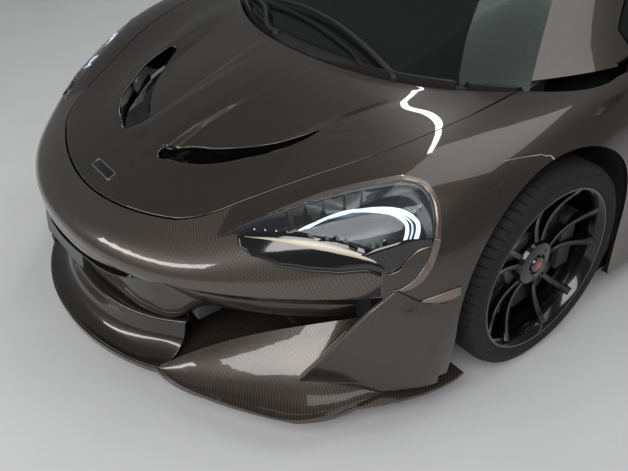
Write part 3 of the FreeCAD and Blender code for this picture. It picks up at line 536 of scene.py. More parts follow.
def drop(x, y, *names):
    """Where a plumb line meets the skin, with the skin's upward normal."""
    point, normal, *_ = tree(*names).ray_cast(Vector((x, y, 2.0)), Vector((0, 0, -1)))
    if point is None:
        point, normal, *_ = tree(*names).find_nearest(Vector((x, y, 0.6)))
    return point, normal if normal.z > 0 else -normal


def nearest(x, v, z, out, *names):
    """The skin's point nearest a place, its normal on the side that out points to, and how far."""
    point, normal, _, far = tree(*names).find_nearest(Vector((x, v + FRONT, z)))
    return point, normal if normal.dot(Vector(out)) >= 0 else -normal, far


def cover(rows, names, way, lift):
    """A skin through rows in mm, pushed out along a way until it clears the panels under it."""
    steps, between, reach, smoothing = 8, 6, 0.03, 24
    way = Vector(way).normalized()
    lines = [spline(from_mm(row), steps) for row in rows]
    grid = []
    for k in range(len(lines[0])):
        column = []
        for a, b in zip(lines, lines[1:]):
            column += [Vector(a[k]).lerp(Vector(b[k]), i / between) for i in range(between)]
        grid.append(column + [Vector(lines[-1][k])])
    out = np.zeros((len(grid), len(grid[0])))
    for i, column in enumerate(grid):
        for j, q in enumerate(column):
            hit = tree(*names).ray_cast(q + way * reach, -way, 2 * reach)[0]
            out[i, j] = max(0.0, (hit - q).dot(way) + lift) if hit else 0.0
    for _ in range(smoothing):
        soft = out.copy()
        soft[1:-1] = (soft[:-2] + 2 * soft[1:-1] + soft[2:]) / 4
        soft[:, 1:-1] = (soft[:, :-2] + 2 * soft[:, 1:-1] + soft[:, 2:]) / 4
        out = np.maximum(out, soft)
    return [[q + way * float(out[i, j]) for j, q in enumerate(column)]
            for i, column in enumerate(grid)]


def wire_mesh(name, corners, y, pitch, holes=()):
    """Crossed wires in a frame from one (x, z) corner to the other, left out inside round holes."""
    (x0, z0), (x1, z1) = corners
    wire, bar, points = 0.0011, 0.0035, 40
    parts = []
    for lean in (1, -1):
        for k in range(int((x1 - x0 + z1 - z0) / pitch) + 1):
            start = x0 - (z1 - z0) + k * pitch if lean > 0 else x0 + k * pitch
            run = []
            for i in range(points + 2):
                z = z0 + (z1 - z0) * i / points
                x = start + lean * (z - z0)
                if i <= points and x0 <= x <= x1 and all(
                        math.hypot(x - hx, z - hz) > radius for hx, hz, radius in holes):
                    run.append((x, y + 0.0006 * lean, z))
                    continue
                if len(run) > 1:
                    parts.append(tube([run[0], run[-1]], wire, 5))
                run = []
    border = [(x0, y, z0), (x1, y, z0), (x1, y, z1), (x0, y, z1)]
    for a, b in zip(border, border[1:] + border[:1]):
        parts.append(tube([a, b], bar, 8))
    mesh_piece(name, merge(*parts), "grille_black", "black_plastic")


# Settings and operators


class SupercarFinishes(bpy.types.PropertyGroup):
    """Colours and finishes that a user would change"""

    paint_colour: FloatVectorProperty(
        name="Paint", description="Base colour of the metallic paint", subtype="COLOR",
        default=srgb(64, 58, 53)[:3], min=0.0, max=1.0)
    flake_scale: FloatProperty(
        name="Flake scale", description="Metallic flakes per metre", default=1500.0, min=100.0)
    weave_cell: FloatProperty(
        name="Weave cell", description="Width of one carbon tow", default=0.003, min=0.001,
        unit="LENGTH", precision=4)
    screen_tint: FloatVectorProperty(
        name="Screen tint", description="Colour of light that comes through the windscreen",
        subtype="COLOR", default=(0.40, 0.46, 0.44), min=0.0, max=1.0)
    lamp_strength: FloatProperty(
        name="Running lights", description="Strength of the running lights", default=1.05, min=0.0)


class SupercarSizes(bpy.types.PropertyGroup):
    """Sizes and counts that a user would change"""

    spoke_width: FloatProperty(
        name="Spoke width", description="Width of a wheel spoke at its middle", default=0.021,
        min=0.01, unit="LENGTH", precision=3)
    spoke_pairs: IntProperty(
        name="Spoke pairs", description="Pairs of spokes in each wheel", default=5, min=3)
    tread_blocks: IntProperty(
        name="Tread blocks", description="Blocks round each tyre", default=72, min=24)
    louvres: IntProperty(
        name="Louvres", description="Slats on each side of the engine cover", default=8, min=1)
    lens: FloatProperty(
        name="Lens", description="Focal length of the camera in mm", default=40.13, min=10.0)


class SUPERCAR_OT_finishes(bpy.types.Operator):
    """Makes every material and puts the CAD nodes in theirs"""

    bl_idname = "supercar.finishes"
    bl_label = "Finishes"

    def execute(self, context):
        s = context.scene.supercar_finishes
        finish_paint("paint", s.paint_colour, s.flake_scale)
        # A copy of the paint 3.4 times lighter: a painted highlight for edges and rims
        finish_paint("paint_highlight", scaled(s.paint_colour, 3.4), s.flake_scale)
        for name, (colour, *values) in PLAIN.items():
            finish_plain(name, srgb(*colour), *values)
        cell = s.weave_cell
        finish_carbon("carbon", srgb(34, 31, 28), srgb(84, 76, 68), cell)
        finish_carbon("carbon_black", srgb(10, 10, 11), srgb(34, 34, 36), cell)
        finish_carbon("bumper_carbon", srgb(44, 39, 35), srgb(92, 83, 74), cell, srgb(66, 60, 55))
        finish_carbon("lip_carbon", srgb(22, 20, 18), srgb(52, 47, 43), cell)
        finish_glass("glass_dark", (0.20, 0.235, 0.225, 1.0), 0.02)
        finish_glass("glass_screen", tuple(s.screen_tint) + (1.0,), 0.015, 0.3)
        finish_glass("glass_clear", (0.93, 0.95, 0.96, 1.0), 0.01, 0.45)
        finish_light("led_white", (0.66, 0.82, 1.0, 1.0), s.lamp_strength)
        finish_light("led_red", (0.9, 0.02, 0.02, 1.0), 1.2)
        for row in frame["record"]["subparts"]:
            name = row["node"]
            mesh = frame["nodes"][name].data
            mesh.materials.clear()
            mesh.materials.append(MATS[NODE_FINISH.get(name, SLOT_FINISH[row["material_slot"]])])
        return {"FINISHED"}


class SUPERCAR_OT_wheels(bpy.types.Operator):
    """Forged wheels with paired spokes, brake discs and treaded tyres"""

    bl_idname = "supercar.wheels"
    bl_label = "Wheels"

    rim_radius = {"front": 0.259, "rear": 0.271}
    disc_radius = {"front": 0.190, "rear": 0.184}
    bolt_circle = 0.046

    def execute(self, context):
        s = context.scene.supercar_sizes
        for end, y in AXLE_Y.items():
            rim, disc = self.rim_radius[end], self.disc_radius[end]
            for side, hand in SIDES:
                wheel, tyre = f"wheel_{end}_{hand}", f"tyre_{end}_{hand}"
                lo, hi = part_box(tyre)
                r, half = (hi[2] - lo[2]) / 2, (hi[0] - lo[0]) / 2
                centre = Vector(((lo[0] + hi[0]) / 2, y, r))

                def add(name, part, mat, slot="wheel_black", **extra):
                    mesh_piece(name, moved(flipped(part, side), centre), mat, slot, wheel, **extra)

                add(f"{tyre}_tread", self.tyre(s.tread_blocks, r, half, rim), "rubber", "tyre",
                    replaces=(tyre,))
                add(f"{wheel}_face", self.face(s, half, rim), "wheel_black", bevel=0.0012,
                    replaces=(f"rim_{end}_{hand}",))
                add(f"{wheel}_bolts", self.bolts(), "dark_alloy", bevel=0.0008)
                add(f"{wheel}_cap", lathe([(0.058, 0.001), (0.058, 0.027), (0.066, 0.0265),
                                           (0.070, 0.023), (0.071, 0.015), (0.071, 0.001)], 48),
                    "gloss_black")
                add(f"{wheel}_cap_dot", lathe([(0.068, 0.001), (0.068, 0.012), (0.0722, 0.011),
                                               (0.0726, 0.001)], 32), "red_enamel")
                add(f"{wheel}_disc", self.disc(disc), "disc_iron")
        return {"FINISHED"}

    def tyre(self, blocks, r, half, rim):
        """Turned side walls; the crown sinks at its grooves and between the blocks of its edges."""
        wall = [(-half + 0.006, rim), (-half, rim + 0.02), (-half, rim + 0.45 * (r - rim)),
                (-half + 0.006, r - 0.022), (-half + 0.012, r - 0.009), (-half + 0.03, r - 0.001)]
        groove, flank, deep, cut = 0.005, 0.0012, 0.007, 0.006
        cross = list(wall)
        for share in (-0.55, -0.2, 0.2, 0.55):
            c = share * half
            cross += [(c - groove, r), (c - groove + flank, r - deep),
                      (c + groove - flank, r - deep), (c + groove, r)]
        cross += [(-x, q) for x, q in reversed(wall)]
        rings = []
        for i in range(4 * blocks):
            block, phase = divmod(i, 4)
            start = 2 * math.pi * (block + (0.0, 0.08, 0.5, 0.92)[phase]) / blocks
            ring = []
            for x, q in cross:
                shoulder = abs(x) > 0.58 * half and q > r - 0.02
                q -= cut if phase == 0 and shoulder else 0.0
                a = start + 0.035 * abs(x) / half
                ring.append((x, q * math.sin(a), q * math.cos(a)))
            rings.append(ring)
        return rings_mesh(rings, closed=False, caps=False, joined=True)

    def face(self, s, half, rim):
        """Barrel, hub and the spokes, which lean apart in pairs."""
        lip = half - 0.006
        parts = [
            lathe([(-lip, rim - 0.001), (-lip, rim - 0.02), (-0.02, rim - 0.035),
                   (lip - 0.03, rim - 0.022), (lip - 0.008, rim - 0.014), (lip, rim - 0.008),
                   (lip, rim - 0.001)], 128),
            lathe([(0.03, 0.001), (0.03, 0.06), (0.05, 0.072), (0.062, 0.066), (0.066, 0.05),
                   (0.066, 0.034), (0.060, 0.032), (0.060, 0.001)], 64)]
        for pair in range(s.spoke_pairs):
            a = 2 * math.pi * (pair + 0.1) / s.spoke_pairs
            for lean in (-1, 1):
                parts.append(self.spoke(a + lean * 0.16, a + lean * 0.27, s.spoke_width, lip, rim))
        return merge(*parts)

    def spoke(self, a0, a1, width, lip, rim):
        """A spoke from the hub at angle a0 to the rim at a1, dished and grooved on its face."""
        root, front, stations, groove = 0.055, 0.058, 8, 0.0025
        section = ((-1, -0.6), (-0.72, 0.0), (-0.5, 0.0), (0.5, 0.0), (0.72, 0.0), (1, -0.6),
                   (0.9, -1), (-0.9, -1))
        rings = []
        for k in range(stations + 1):
            t = k / stations
            rad = root + (rim - 0.016 - root) * t
            a = a0 + (a1 - a0) * t ** 0.8
            x = front - 0.012 * math.sin(math.pi * t) + (lip - 0.012 - front) * t ** 2.4
            w = width * (0.5 + 0.12 * abs(t - 0.4)) * (1.3 if k == stations else 1.0)
            depth = 0.032 - 0.010 * t
            sin, cos = math.sin(a), math.cos(a)
            rings.append([(x + d * depth - (groove if abs(u) == 0.5 else 0.0),
                           rad * sin + cos * u * w, rad * cos - sin * u * w) for u, d in section])
        return rings_mesh(rings)

    def bolts(self):
        """Five hexagonal bolts on their circle."""
        nuts = []
        for i in range(5):
            a = 2 * math.pi * (i + 0.6) / 5
            nut = lathe([(0.050, 0.001), (0.050, 0.0105), (0.064, 0.0095), (0.067, 0.006),
                         (0.067, 0.001)], 6)
            nuts.append(moved(nut, (0, self.bolt_circle * math.sin(a),
                                    self.bolt_circle * math.cos(a))))
        return merge(*nuts)

    def disc(self, r):
        """A vented disc on its bell."""
        return lathe([(-0.012, 0.105), (-0.012, r), (0.0, r), (0.0, r - 0.004), (0.006, r - 0.004),
                      (0.006, r), (0.018, r), (0.018, 0.100), (0.030, 0.095), (0.034, 0.066),
                      (0.030, 0.066), (0.024, 0.090), (0.006, 0.105)], 96)


class SUPERCAR_OT_bonnet(bpy.types.Operator):
    """Bonnet with a creased spine, two vents with sunk ramps behind them, ducts and blank badge"""

    bl_idname = "supercar.bonnet"
    bl_label = "Bonnet"

    vent_in, vent_out, vent_start = 0.092, 0.424, -0.716
    shut_gap = 0.0024
    badge_v, badge_slope = -0.878, 0.96

    def execute(self, context):
        self.edge_rear = outline(VENT_REAR, 16)
        self.edge_front = outline(VENT_FRONT, 16)
        self.front_line = outline(BONNET_FRONT, 24)
        self.rear_line = outline(BONNET_REAR, 48)
        self.fit()
        self.skin()
        self.ducts()
        self.badge()
        return {"FINISHED"}

    def fit(self):
        """A smooth height for the bonnet's plain skin, even from side to side."""
        columns, stations, outlier = 45, 59, 0.004
        rows = []
        for i in range(columns + 1):
            for j in range(stations + 1):
                x, v = 0.694 * i / columns, -0.93 + 1.0 * j / stations
                hit = tree("bonnet").ray_cast(Vector((x, v + FRONT, 2.0)), Vector((0, 0, -1)))[0]
                if hit is not None:
                    rows.append((x, v, hit.z))
        x, v, z = np.array(rows).T
        self.terms = np.linalg.lstsq(self.basis(x, v), z, rcond=None)[0]
        keep = abs(z - self.basis(x, v) @ self.terms) < outlier
        self.terms = np.linalg.lstsq(self.basis(x[keep], v[keep]), z[keep], rcond=None)[0]

    def basis(self, x, v):
        """Smooth terms, even in x, over the bonnet's plan."""
        across, along = 2 * (x / 0.7) ** 2 - 1, (v + 0.435) / 0.505
        return np.polynomial.chebyshev.chebvander2d(across, along, [6, 8])

    def height(self, x, v):
        """The plain skin's height."""
        return self.basis(x, v) @ self.terms

    def shape(self, x, v, rear):
        """How far the styled skin stands over the plain one; rear marks points behind the vents."""
        x = abs(x)
        crease = np.interp(v, [-0.74, -0.69, -0.60, -0.52, -0.45, -0.37, -0.25],
                           [0.090, 0.088, 0.083, 0.092, 0.100, 0.112, 0.135])
        crest = np.interp(v, [-0.74, -0.60, -0.43, -0.34, -0.22, -0.05],
                          [0.20, 0.36, 0.428, 0.448, 0.49, 0.56])
        back = gap_to(self.edge_rear, x, v)
        front = gap_to(self.edge_front, x, v)
        sunk = 0.021 * (1 - np.clip(back / 0.40, 0, 1)) ** 1.6
        sunk *= step(0.0, 0.017, x - crease) * step(0.0, 0.075, crest - x)
        spine = (0.006 * (1 - step(0.045, 0.100, x)) * step(-0.86, -0.70, v)
                 * (1 - step(-0.50, -0.16, v)))
        lip = 0.0045 * np.exp(-(front / 0.045) ** 2) - np.clip(0.007 - front, 0, 1) ** 2 / 0.014
        roll = -np.clip(0.006 - back, 0, 1) ** 2 / 0.012
        shoulder = (0.004 * np.exp(-((x - crest - 0.012) / 0.05) ** 2) * step(-0.55, -0.40, v)
                    * (1 - step(-0.25, -0.08, v)))
        rise = np.where(rear, spine - sunk + roll + shoulder, spine + lip)
        rim = np.minimum(gap_to(self.front_line, x, v), gap_to(self.rear_line, x, v))
        return rise * step(0.0, 0.03, rim)

    def top(self, x, v, rear):
        """The styled skin's height."""
        return self.height(x, v) + self.shape(x, v, rear)

    def skin(self):
        """One grid in two halves, before and behind the vents, that meet where there is no vent."""
        gap, rows_front, rows_rear = self.shut_gap, 44, 60
        line = even(self.front_line, 170)
        near_ends = [0.092, 0.0935, 0.096, 0.100, 0.408, 0.413, 0.417, 0.420, 0.4225, 0.424]
        xs = np.unique(np.concatenate([line[:, 0] * (1 - gap / 0.7), near_ends]))
        xs = np.concatenate([-xs[:0:-1], xs])
        ax = abs(xs)
        front, rear, vent_front, vent_rear = (
            np.array(edge).T for edge in (self.front_line, self.rear_line, self.edge_front,
                                          self.edge_rear))
        v_rear = np.interp(xs, *rear) - gap
        v_front = np.minimum(np.interp(ax, *front) + gap, v_rear)
        outside = np.where(ax < self.vent_in, self.vent_start,
                           v_front + (v_rear - v_front) * 0.526)
        inside = (ax >= self.vent_in) & (ax <= self.vent_out)
        v_a = np.where(inside, np.interp(ax, *vent_front), outside)
        v_b = np.maximum(v_a, np.where(inside, np.interp(ax, *vent_rear), v_a))
        v = np.concatenate([np.linspace(v_front, v_a, rows_front),
                            np.linspace(v_b, v_rear, rows_rear)])
        behind = np.zeros(v.shape, bool)
        behind[rows_front:] = True
        x, v = np.tile(xs, (len(v), 1)).ravel(), v.ravel()
        verts = np.stack([x, v + FRONT, self.top(x, v, behind.ravel())], axis=1)
        cols, vent = len(xs), v_b - v_a > 1e-5
        faces = []
        for i in range(rows_front + rows_rear - 1):
            for j in range(cols - 1):
                if i == rows_front - 1 and (vent[j] or vent[j + 1]):
                    continue
                a = i * cols + j
                faces.append((a, a + 1, a + cols + 1, a + cols))
        mesh_piece("bonnet_skin", (verts, faces), "paint", "paint", "bonnet", thickness=0.0028,
                   replaces=("bonnet",))

    def ducts(self):
        """A black trough under each vent: rings of the vent's outline, lower and lower."""
        half = 60
        loop = np.concatenate([even(self.edge_front, half), even(self.edge_rear, half)[-2:0:-1]])
        middle = loop.mean(axis=0)
        top = self.top(loop[:, 0], loop[:, 1], np.arange(len(loop)) >= half)
        troughs = []
        for side, _ in SIDES:
            rings = []
            for depth, grow in ((0.0035, 1.015), (0.012, 1.02), (0.030, 1.02), (0.050, 0.99),
                                (0.058, 0.92), (0.060, 0.6)):
                ring = middle + (loop - middle) * grow
                rings.append([(side * x, v + FRONT, z - depth) for (x, v), z in zip(ring, top)])
            troughs += [rings_mesh(rings, caps=False), (rings[-1], [tuple(range(len(loop)))])]
        mesh_piece("bonnet_duct_troughs", merge(*troughs), "gloss_black", "black_plastic",
                   "bonnet", replaces=("bonnet_ducts",))

    def badge(self):
        """A blank black badge in a bright rim, flush with the nose of the bonnet."""
        def on_skin(x, y, h):
            v = np.array([self.badge_v + y * self.badge_slope])
            return x, v[0] + FRONT, float(self.height(np.array([x]), v)[0]) + h

        ring = rounded(0.118, 0.030, 0.006)
        rim = ((1, 1, -0.002), (1, 1, 0.0022), (0.97, 0.9, 0.0032), (0.955, 0.82, 0.003),
               (0.95, 0.80, 0.0012), (0.6, 0.5, 0.001))
        face = ((0.95, 0.80, 0.0008), (0.95, 0.80, 0.0020), (0.93, 0.74, 0.0024))
        mesh_piece("badge_rim", plaque(ring, rim, on_skin), "chrome", "exhaust_steel", "bonnet")
        mesh_piece("badge_face", plaque(ring, face, on_skin), "gloss_black", "black_plastic",
                   "bonnet")


class SUPERCAR_OT_nose(bpy.types.Operator):
    """Bowl-shaped lip, undercut face, grille meshes, corners, sensors, markers and blank plate"""

    bl_idname = "supercar.nose"
    bl_label = "Nose"

    # Stations of the lip in mm from the middle outwards, each from the splitter up to the mouth
    lip = [
        [(0, -1079, 115.5), (0, -1060, 117), (0, -1034, 126), (0, -1013, 150), (0, -1004, 180),
         (0, -1001, 206)],
        [(110, -1072, 115.5), (108, -1053, 117), (106, -1028, 126), (104, -1006, 150),
         (103, -997, 180), (102, -994, 206)],
        [(214, -1052, 115.5), (210, -1034, 117), (205, -1008, 127), (200, -985, 151),
         (198, -976, 181), (196, -972, 207)],
        [(310, -1020, 115.5), (304, -1002, 118), (297, -974, 129), (290, -948, 153),
         (286, -938, 183), (283, -933, 209)],
        [(372, -988, 115.5), (368, -966, 118), (362, -934, 130), (356, -906, 155),
         (352, -894, 186), (349, -888, 212)],
        [(400, -968, 116), (397, -944, 119), (393, -912, 132), (389, -884, 160), (386, -872, 192),
         (384, -866, 218)],
    ]

    # Stations of the undercut: its edge (x, v), the way inwards, and its top and bottom, in mm
    band = [
        (0, -1046, 0.0, 1.0, 388, 374), (220, -1020, -0.25, 0.97, 388, 374),
        (330, -985, -0.4, 0.92, 406, 374), (400, -948, -0.5, 0.87, 439.6, 370),
        (500, -890, -0.6, 0.8, 440.0, 346), (592, -822, -0.68, 0.73, 440.5, 340),
        (686, -734, -0.74, 0.67, 441.2, 338), (775, -632, -0.78, 0.62, 441.9, 340),
        (806, -590, -0.8, 0.6, 442.3, 350),
    ]

    # Corner skin in mm, from the ground up, each row from the blade's edge back to the fender
    blade = [
        [(742, -701, 127), (812, -600, 127), (884, -508, 127), (920, -436, 127), (929, -405, 127)],
        [(714, -711, 157), (800, -606, 157), (884, -508, 157), (920, -436, 157), (929, -405, 157)],
        [(783, -628, 300), (838, -568, 300), (892, -496, 300), (920, -436, 300), (929, -405, 300)],
        [(831, -571, 400), (860, -536, 398), (893, -490, 392), (917, -436, 388), (928, -405, 384)],
        [(862, -513, 461), (873, -494, 447), (889, -471, 430), (909, -437, 415), (930, -398, 408)],
    ]

    # The splitter's end: its outer edge (x, v) and how far it bulges there
    splitter_end = ((0.842, -0.640, 0.001), (0.868, -0.590, 0.010), (0.896, -0.530, 0.014),
                    (0.922, -0.460, 0.014), (0.936, -0.400, 0.010), (0.941, -0.350, 0.006),
                    (0.938, -0.310, 0.001))
    splitter_levels, splitter_depth = (0.102, 0.108, 0.113), 0.050

    # The side marker's upper and lower edge
    marker_edges = (
        [(0.898, -0.460, 0.430), (0.914, -0.425, 0.440), (0.927, -0.396, 0.446),
         (0.934, -0.368, 0.450)],
        [(0.896, -0.463, 0.422), (0.912, -0.435, 0.414), (0.930, -0.396, 0.417),
         (0.938, -0.370, 0.424)])

    sensors = ((0.726, -0.614, 0.362), (0.330, -0.975, 0.404))
    radiator = (0.562, 0.698)
    plate_size = (0.262, 0.074, 0.009)

    def execute(self, context):
        self.surface([self.lip_station(row) for row in self.lip], "intake_lip_bowl", "intake_lip",
                     0.006)
        self.surface([self.band_station(*row) for row in self.band], "nose_band_skin",
                     "nose_band", 0.003)
        wire_mesh("front_grille_mesh", ((-0.375, 0.205), (0.375, 0.385)), -2.068, 0.016)
        for side, hand in SIDES:
            x0, x1 = sorted(side * x for x in self.radiator)
            wire_mesh(f"side_radiator_mesh_{hand}", ((x0, 0.120), (x1, 0.385)), -1.7195, 0.014)
            self.parking_sensors(side, hand)
            self.marker(side, hand)
            self.corner(side, hand)
            self.end_of_splitter(side, hand)
        self.plate()
        return {"FINISHED"}

    def surface(self, stations, name, node, thickness):
        """A smooth skin through stations in mm, from side to side, in place of a CAD node."""
        stations = [[(-x, v, z) for x, v, z in row] for row in stations[:0:-1]] + stations
        across = [spline(from_mm(row), 5) for row in stations]
        grid = [spline([row[k] for row in across], 8) for k in range(len(across[0]))]
        mesh_piece(name, open_skin(grid), "lip_carbon", "carbon", thickness=thickness,
                   replaces=(node,))

    def lip_station(self, row):
        """The lip's profile, carried on into the mouth."""
        x, v, z = row[-1]
        return row + [(x * 0.97, v + 22, z + 5), (x * 0.93, v + 60, z + 7)]

    def band_station(self, x, v, ix, iv, top, bottom):
        """The undercut's profile with its slit; near the middle a panel hangs from it."""
        slit = top - 0.75 * (top - 390) - 4
        hang = float(step(0.56, 0.36, x / 1000))
        profile = [(3, top), (12, top - 0.35 * (top - slit)), (32, slit), (54, slit - 1.5),
                   (52, slit - 6), (41, slit - 8), (46, (slit + bottom) / 2 - 4), (56, bottom),
                   (60, bottom - 50 * hang), (64, bottom - 92 * hang), (69, bottom - 130 * hang),
                   (76, bottom - 150 * hang + 1), (88, bottom - 154 * hang + 4)]
        return [(x + d * ix, v + d * iv, z) for d, z in profile]

    def parking_sensors(self, side, hand):
        """Round sensors, each with a groove, set square to the undercut's skin."""
        profile = [(-0.004, 0.0005), (-0.004, 0.0092), (0.0012, 0.0092), (0.0018, 0.0084),
                   (0.0012, 0.0078), (0.0020, 0.0070), (0.0022, 0.0005)]
        discs = []
        for x, v, z in self.sensors:
            at, n, _ = nearest(x, v, z, (0, -1, 0), "nose_band")
            discs.append(moved(lathe(profile, 32), at, facing(n)))
        mesh_piece(f"parking_sensors_{hand}", merge(*discs), "carbon_black", "black_plastic",
                   side=side)

    def marker(self, side, hand):
        """A flush wedge-shaped side lamp ahead of the wheel arch."""
        upper, lower = (even(edge, 12) for edge in self.marker_edges)
        proud, edge_proud = 0.0048, 0.0030
        grid = []
        for a, b in zip(upper, lower):
            row = []
            for k in range(5):
                at, n, _ = nearest(*(a + (b - a) * k / 4), (1, 0, 0), "front_fenders")
                row.append(at + n * (proud if 0 < k < 4 else edge_proud))
            grid.append(row)
        mesh_piece(f"side_marker_{hand}", open_skin(grid), "marker_grey", "tail_lens", side=side,
                   thickness=0.003)

    def corner(self, side, hand):
        """The blade's skin with its broad edge in lightened paint, a painted highlight, and the
        seam over it.
        """
        name = f"front_corner_{hand}"
        grid = cover(self.blade, ("corner_blades", "front_fenders"), (0.77, -0.63, 0.0), 0.0010)
        mesh_piece(f"{name}_skin", open_skin(grid), "paint", "paint", side=side)
        deep = Vector((-0.77, 0.63, 0.0))
        # The bevel strip along the blade's front edge is in lightened paint: a painted highlight
        edge = []
        for q, r in zip(grid[0], grid[1]):
            along = (r - q).normalized()
            edge.append([q + along * 0.0015, q - along * 0.0004 + deep * 0.0015,
                         q - along * 0.0040 + deep * 0.0080, q - along * 0.0030 + deep * 0.0150])
        mesh_piece(f"{name}_edge", open_skin(edge), "paint_highlight", "paint", side=side,
                   thickness=0.0008, offset=0.0)
        seam = [column[-1] + Vector((0.77, -0.63, 0.3)) * 0.0020 for column in grid[:-8]]
        mesh_piece(f"{name}_seam", tube(seam, 0.0018, 6), "black_plastic", "black_plastic",
                   side=side)

    def end_of_splitter(self, side, hand):
        """The thin end that shows past the corner's foot."""
        inner, (low, middle, high) = self.splitter_depth, self.splitter_levels
        rings = []
        for x, v, bulge in self.splitter_end:
            y = v + FRONT
            front = y - bulge * 0.3
            rings.append([(x - inner, y, low), (x, front, low), (x + 0.002, front, middle),
                          (x, front, high), (x - inner, y, high)])
        lines = [spline([ring[k] for ring in rings], 5) for k in range(5)]
        mesh_piece(f"splitter_end_{hand}", rings_mesh(list(zip(*lines))), "carbon", "carbon",
                   side=side, bevel=0.0008)

    def plate(self):
        """A blank plate under the beak's edge, on a dark bracket."""
        right = Vector((0.251, 0.018 * 0.4, 0)).normalized()
        up = Vector((0, 0.12, 1)).normalized()
        out = right.cross(up)
        middle = Vector((-0.022, -1.040 + FRONT, 0.363))

        def on_plate(x, y, h):
            return middle + right * x + up * y + out * (h - 0.010 * (x / 0.13) ** 2)

        ring = rounded(*self.plate_size)
        face = ((1, 1, -0.001), (1, 1, 0.0012), (0.985, 0.95, 0.0020), (0.972, 0.90, 0.0014),
                (0.9, 0.7, 0.0014))
        back = ((1.02, 1.05, -0.0045), (1.02, 1.05, -0.0012))
        tabs = [tube([(x, middle.y + 0.004, 0.385), (x, middle.y + 0.030, 0.384)], 0.004, 8)
                for x in (-0.09, 0.05)]
        mesh_piece("front_plate", plaque(ring, face, on_plate), "plate_green", "wheel_leather")
        mesh_piece("front_plate_bracket", plaque(ring, back, on_plate), "black_plastic",
                   "black_plastic")
        mesh_piece("front_plate_tabs", merge(*tabs), "black_plastic", "black_plastic")


class SUPERCAR_OT_screen(bpy.types.Operator):
    """Black border of the windscreen, wipers and the inside mirror"""

    bl_idname = "supercar.screen"
    bl_label = "Windscreen"

    # Each wiper's pivot and tip, (x, v)
    wipers = (((0.387, -0.103), (-0.297, -0.040)), ((-0.150, -0.150), (-0.600, 0.020)))
    mirror_y, mirror_z = -0.640, 0.985

    def on_glass(self, x, v, lift):
        """A place on the windscreen, lifted off it."""
        p, n = drop(x, v + FRONT, "windscreen")
        return p + n * lift

    def execute(self, context):
        self.border()
        self.wipers_and_blades()
        self.inside_mirror()
        return {"FINISHED"}

    def border(self):
        """A black band under the glass, wider along the screen's foot."""
        half = outline(SCREEN_HALF, 20)
        loop = even(half + [(-x, v) for x, v in half[-2:0:-1]], 200)[:-1]
        area = sum(a[0] * b[1] - a[1] * b[0] for a, b in zip(loop, np.roll(loop, -1, axis=0)))
        spin = 1.0 if area > 0 else -1.0
        rings = []
        for k in range(6):
            ring = []
            for i, q in enumerate(loop):
                n = left_of(loop[i - 1], loop[(i + 1) % len(loop)]) * spin
                wide = 0.034 + 0.050 * step(0.12, -0.05, q[1])
                g = q + n * (0.006 + wide * k / 5)
                ring.append(self.on_glass(g[0], g[1], -0.0068))
            rings.append(ring)
        mesh_piece("windscreen_border", rings_mesh(rings, caps=False), "screen_black",
                   "black_plastic", thickness=0.001)

    def wipers_and_blades(self):
        """Tapered arms on their bosses, each with a rubber and its carrier."""
        arms, rubber = [], []
        for (x0, v0), (x1, v1) in self.wipers:
            pts = [Vector((x0, v0 + FRONT, 0.752))]
            for t in (0.12, 0.3, 0.5, 0.7, 0.85, 1.0):
                bow = 0.012 * math.sin(math.pi * t)
                pts.append(self.on_glass(x0 + (x1 - x0) * t, v0 + (v1 - v0) * t + bow,
                                         0.022 - 0.006 * t))
            path = spline(pts, 5)
            taper = [0.0095 - 0.0045 * i / len(path) for i in range(len(path))]
            boss = lathe([(0.0, 0.0005), (0.0, 0.016), (0.012, 0.014), (0.018, 0.008),
                          (0.018, 0.0005)], 24)
            arms += [tube(path, taper, 8),
                     moved(boss, pts[0] - Vector((0, 0, 0.010)), facing(Vector((0, -0.3, 1))))]
            for lift, r in ((0.007, 0.0055), (0.013, 0.0035)):
                line = []
                for i in range(13):
                    t = -0.04 + 0.94 * i / 12 + 0.16
                    line.append(self.on_glass(x0 + (x1 - x0) * t,
                                              v0 + (v1 - v0) * t - 0.026 + 0.010 * t, lift))
                rubber.append(tube(line, r, 6))
        mesh_piece("wiper_arms", merge(*arms), "black_plastic", "black_plastic",
                   replaces=("wipers",))
        mesh_piece("wiper_blades", merge(*rubber), "rubber", "black_plastic")

    def inside_mirror(self):
        """A rounded mirror that hangs from the screen's top on its stalk."""
        def on_mirror(x, y, h):
            return Vector((x, self.mirror_y + h + 0.10 * abs(x) ** 2, self.mirror_z + y))

        levels = ((0.8, 0.6, -0.022), (0.97, 0.9, -0.012), (1, 1, 0.0), (0.97, 0.9, 0.003),
                  (0.9, 0.8, 0.003))
        mesh_piece("inside_mirror", plaque(rounded(0.21, 0.056, 0.026, 8), levels, on_mirror),
                   "black_plastic", "trim_dark")
        top, n = drop(0.0, -0.712, "windscreen")
        stalk = tube([top - n * 0.006, (0, -0.662, 0.990)], [0.011, 0.006], 10)
        mesh_piece("inside_mirror_stalk", stalk, "black_plastic", "trim_dark")


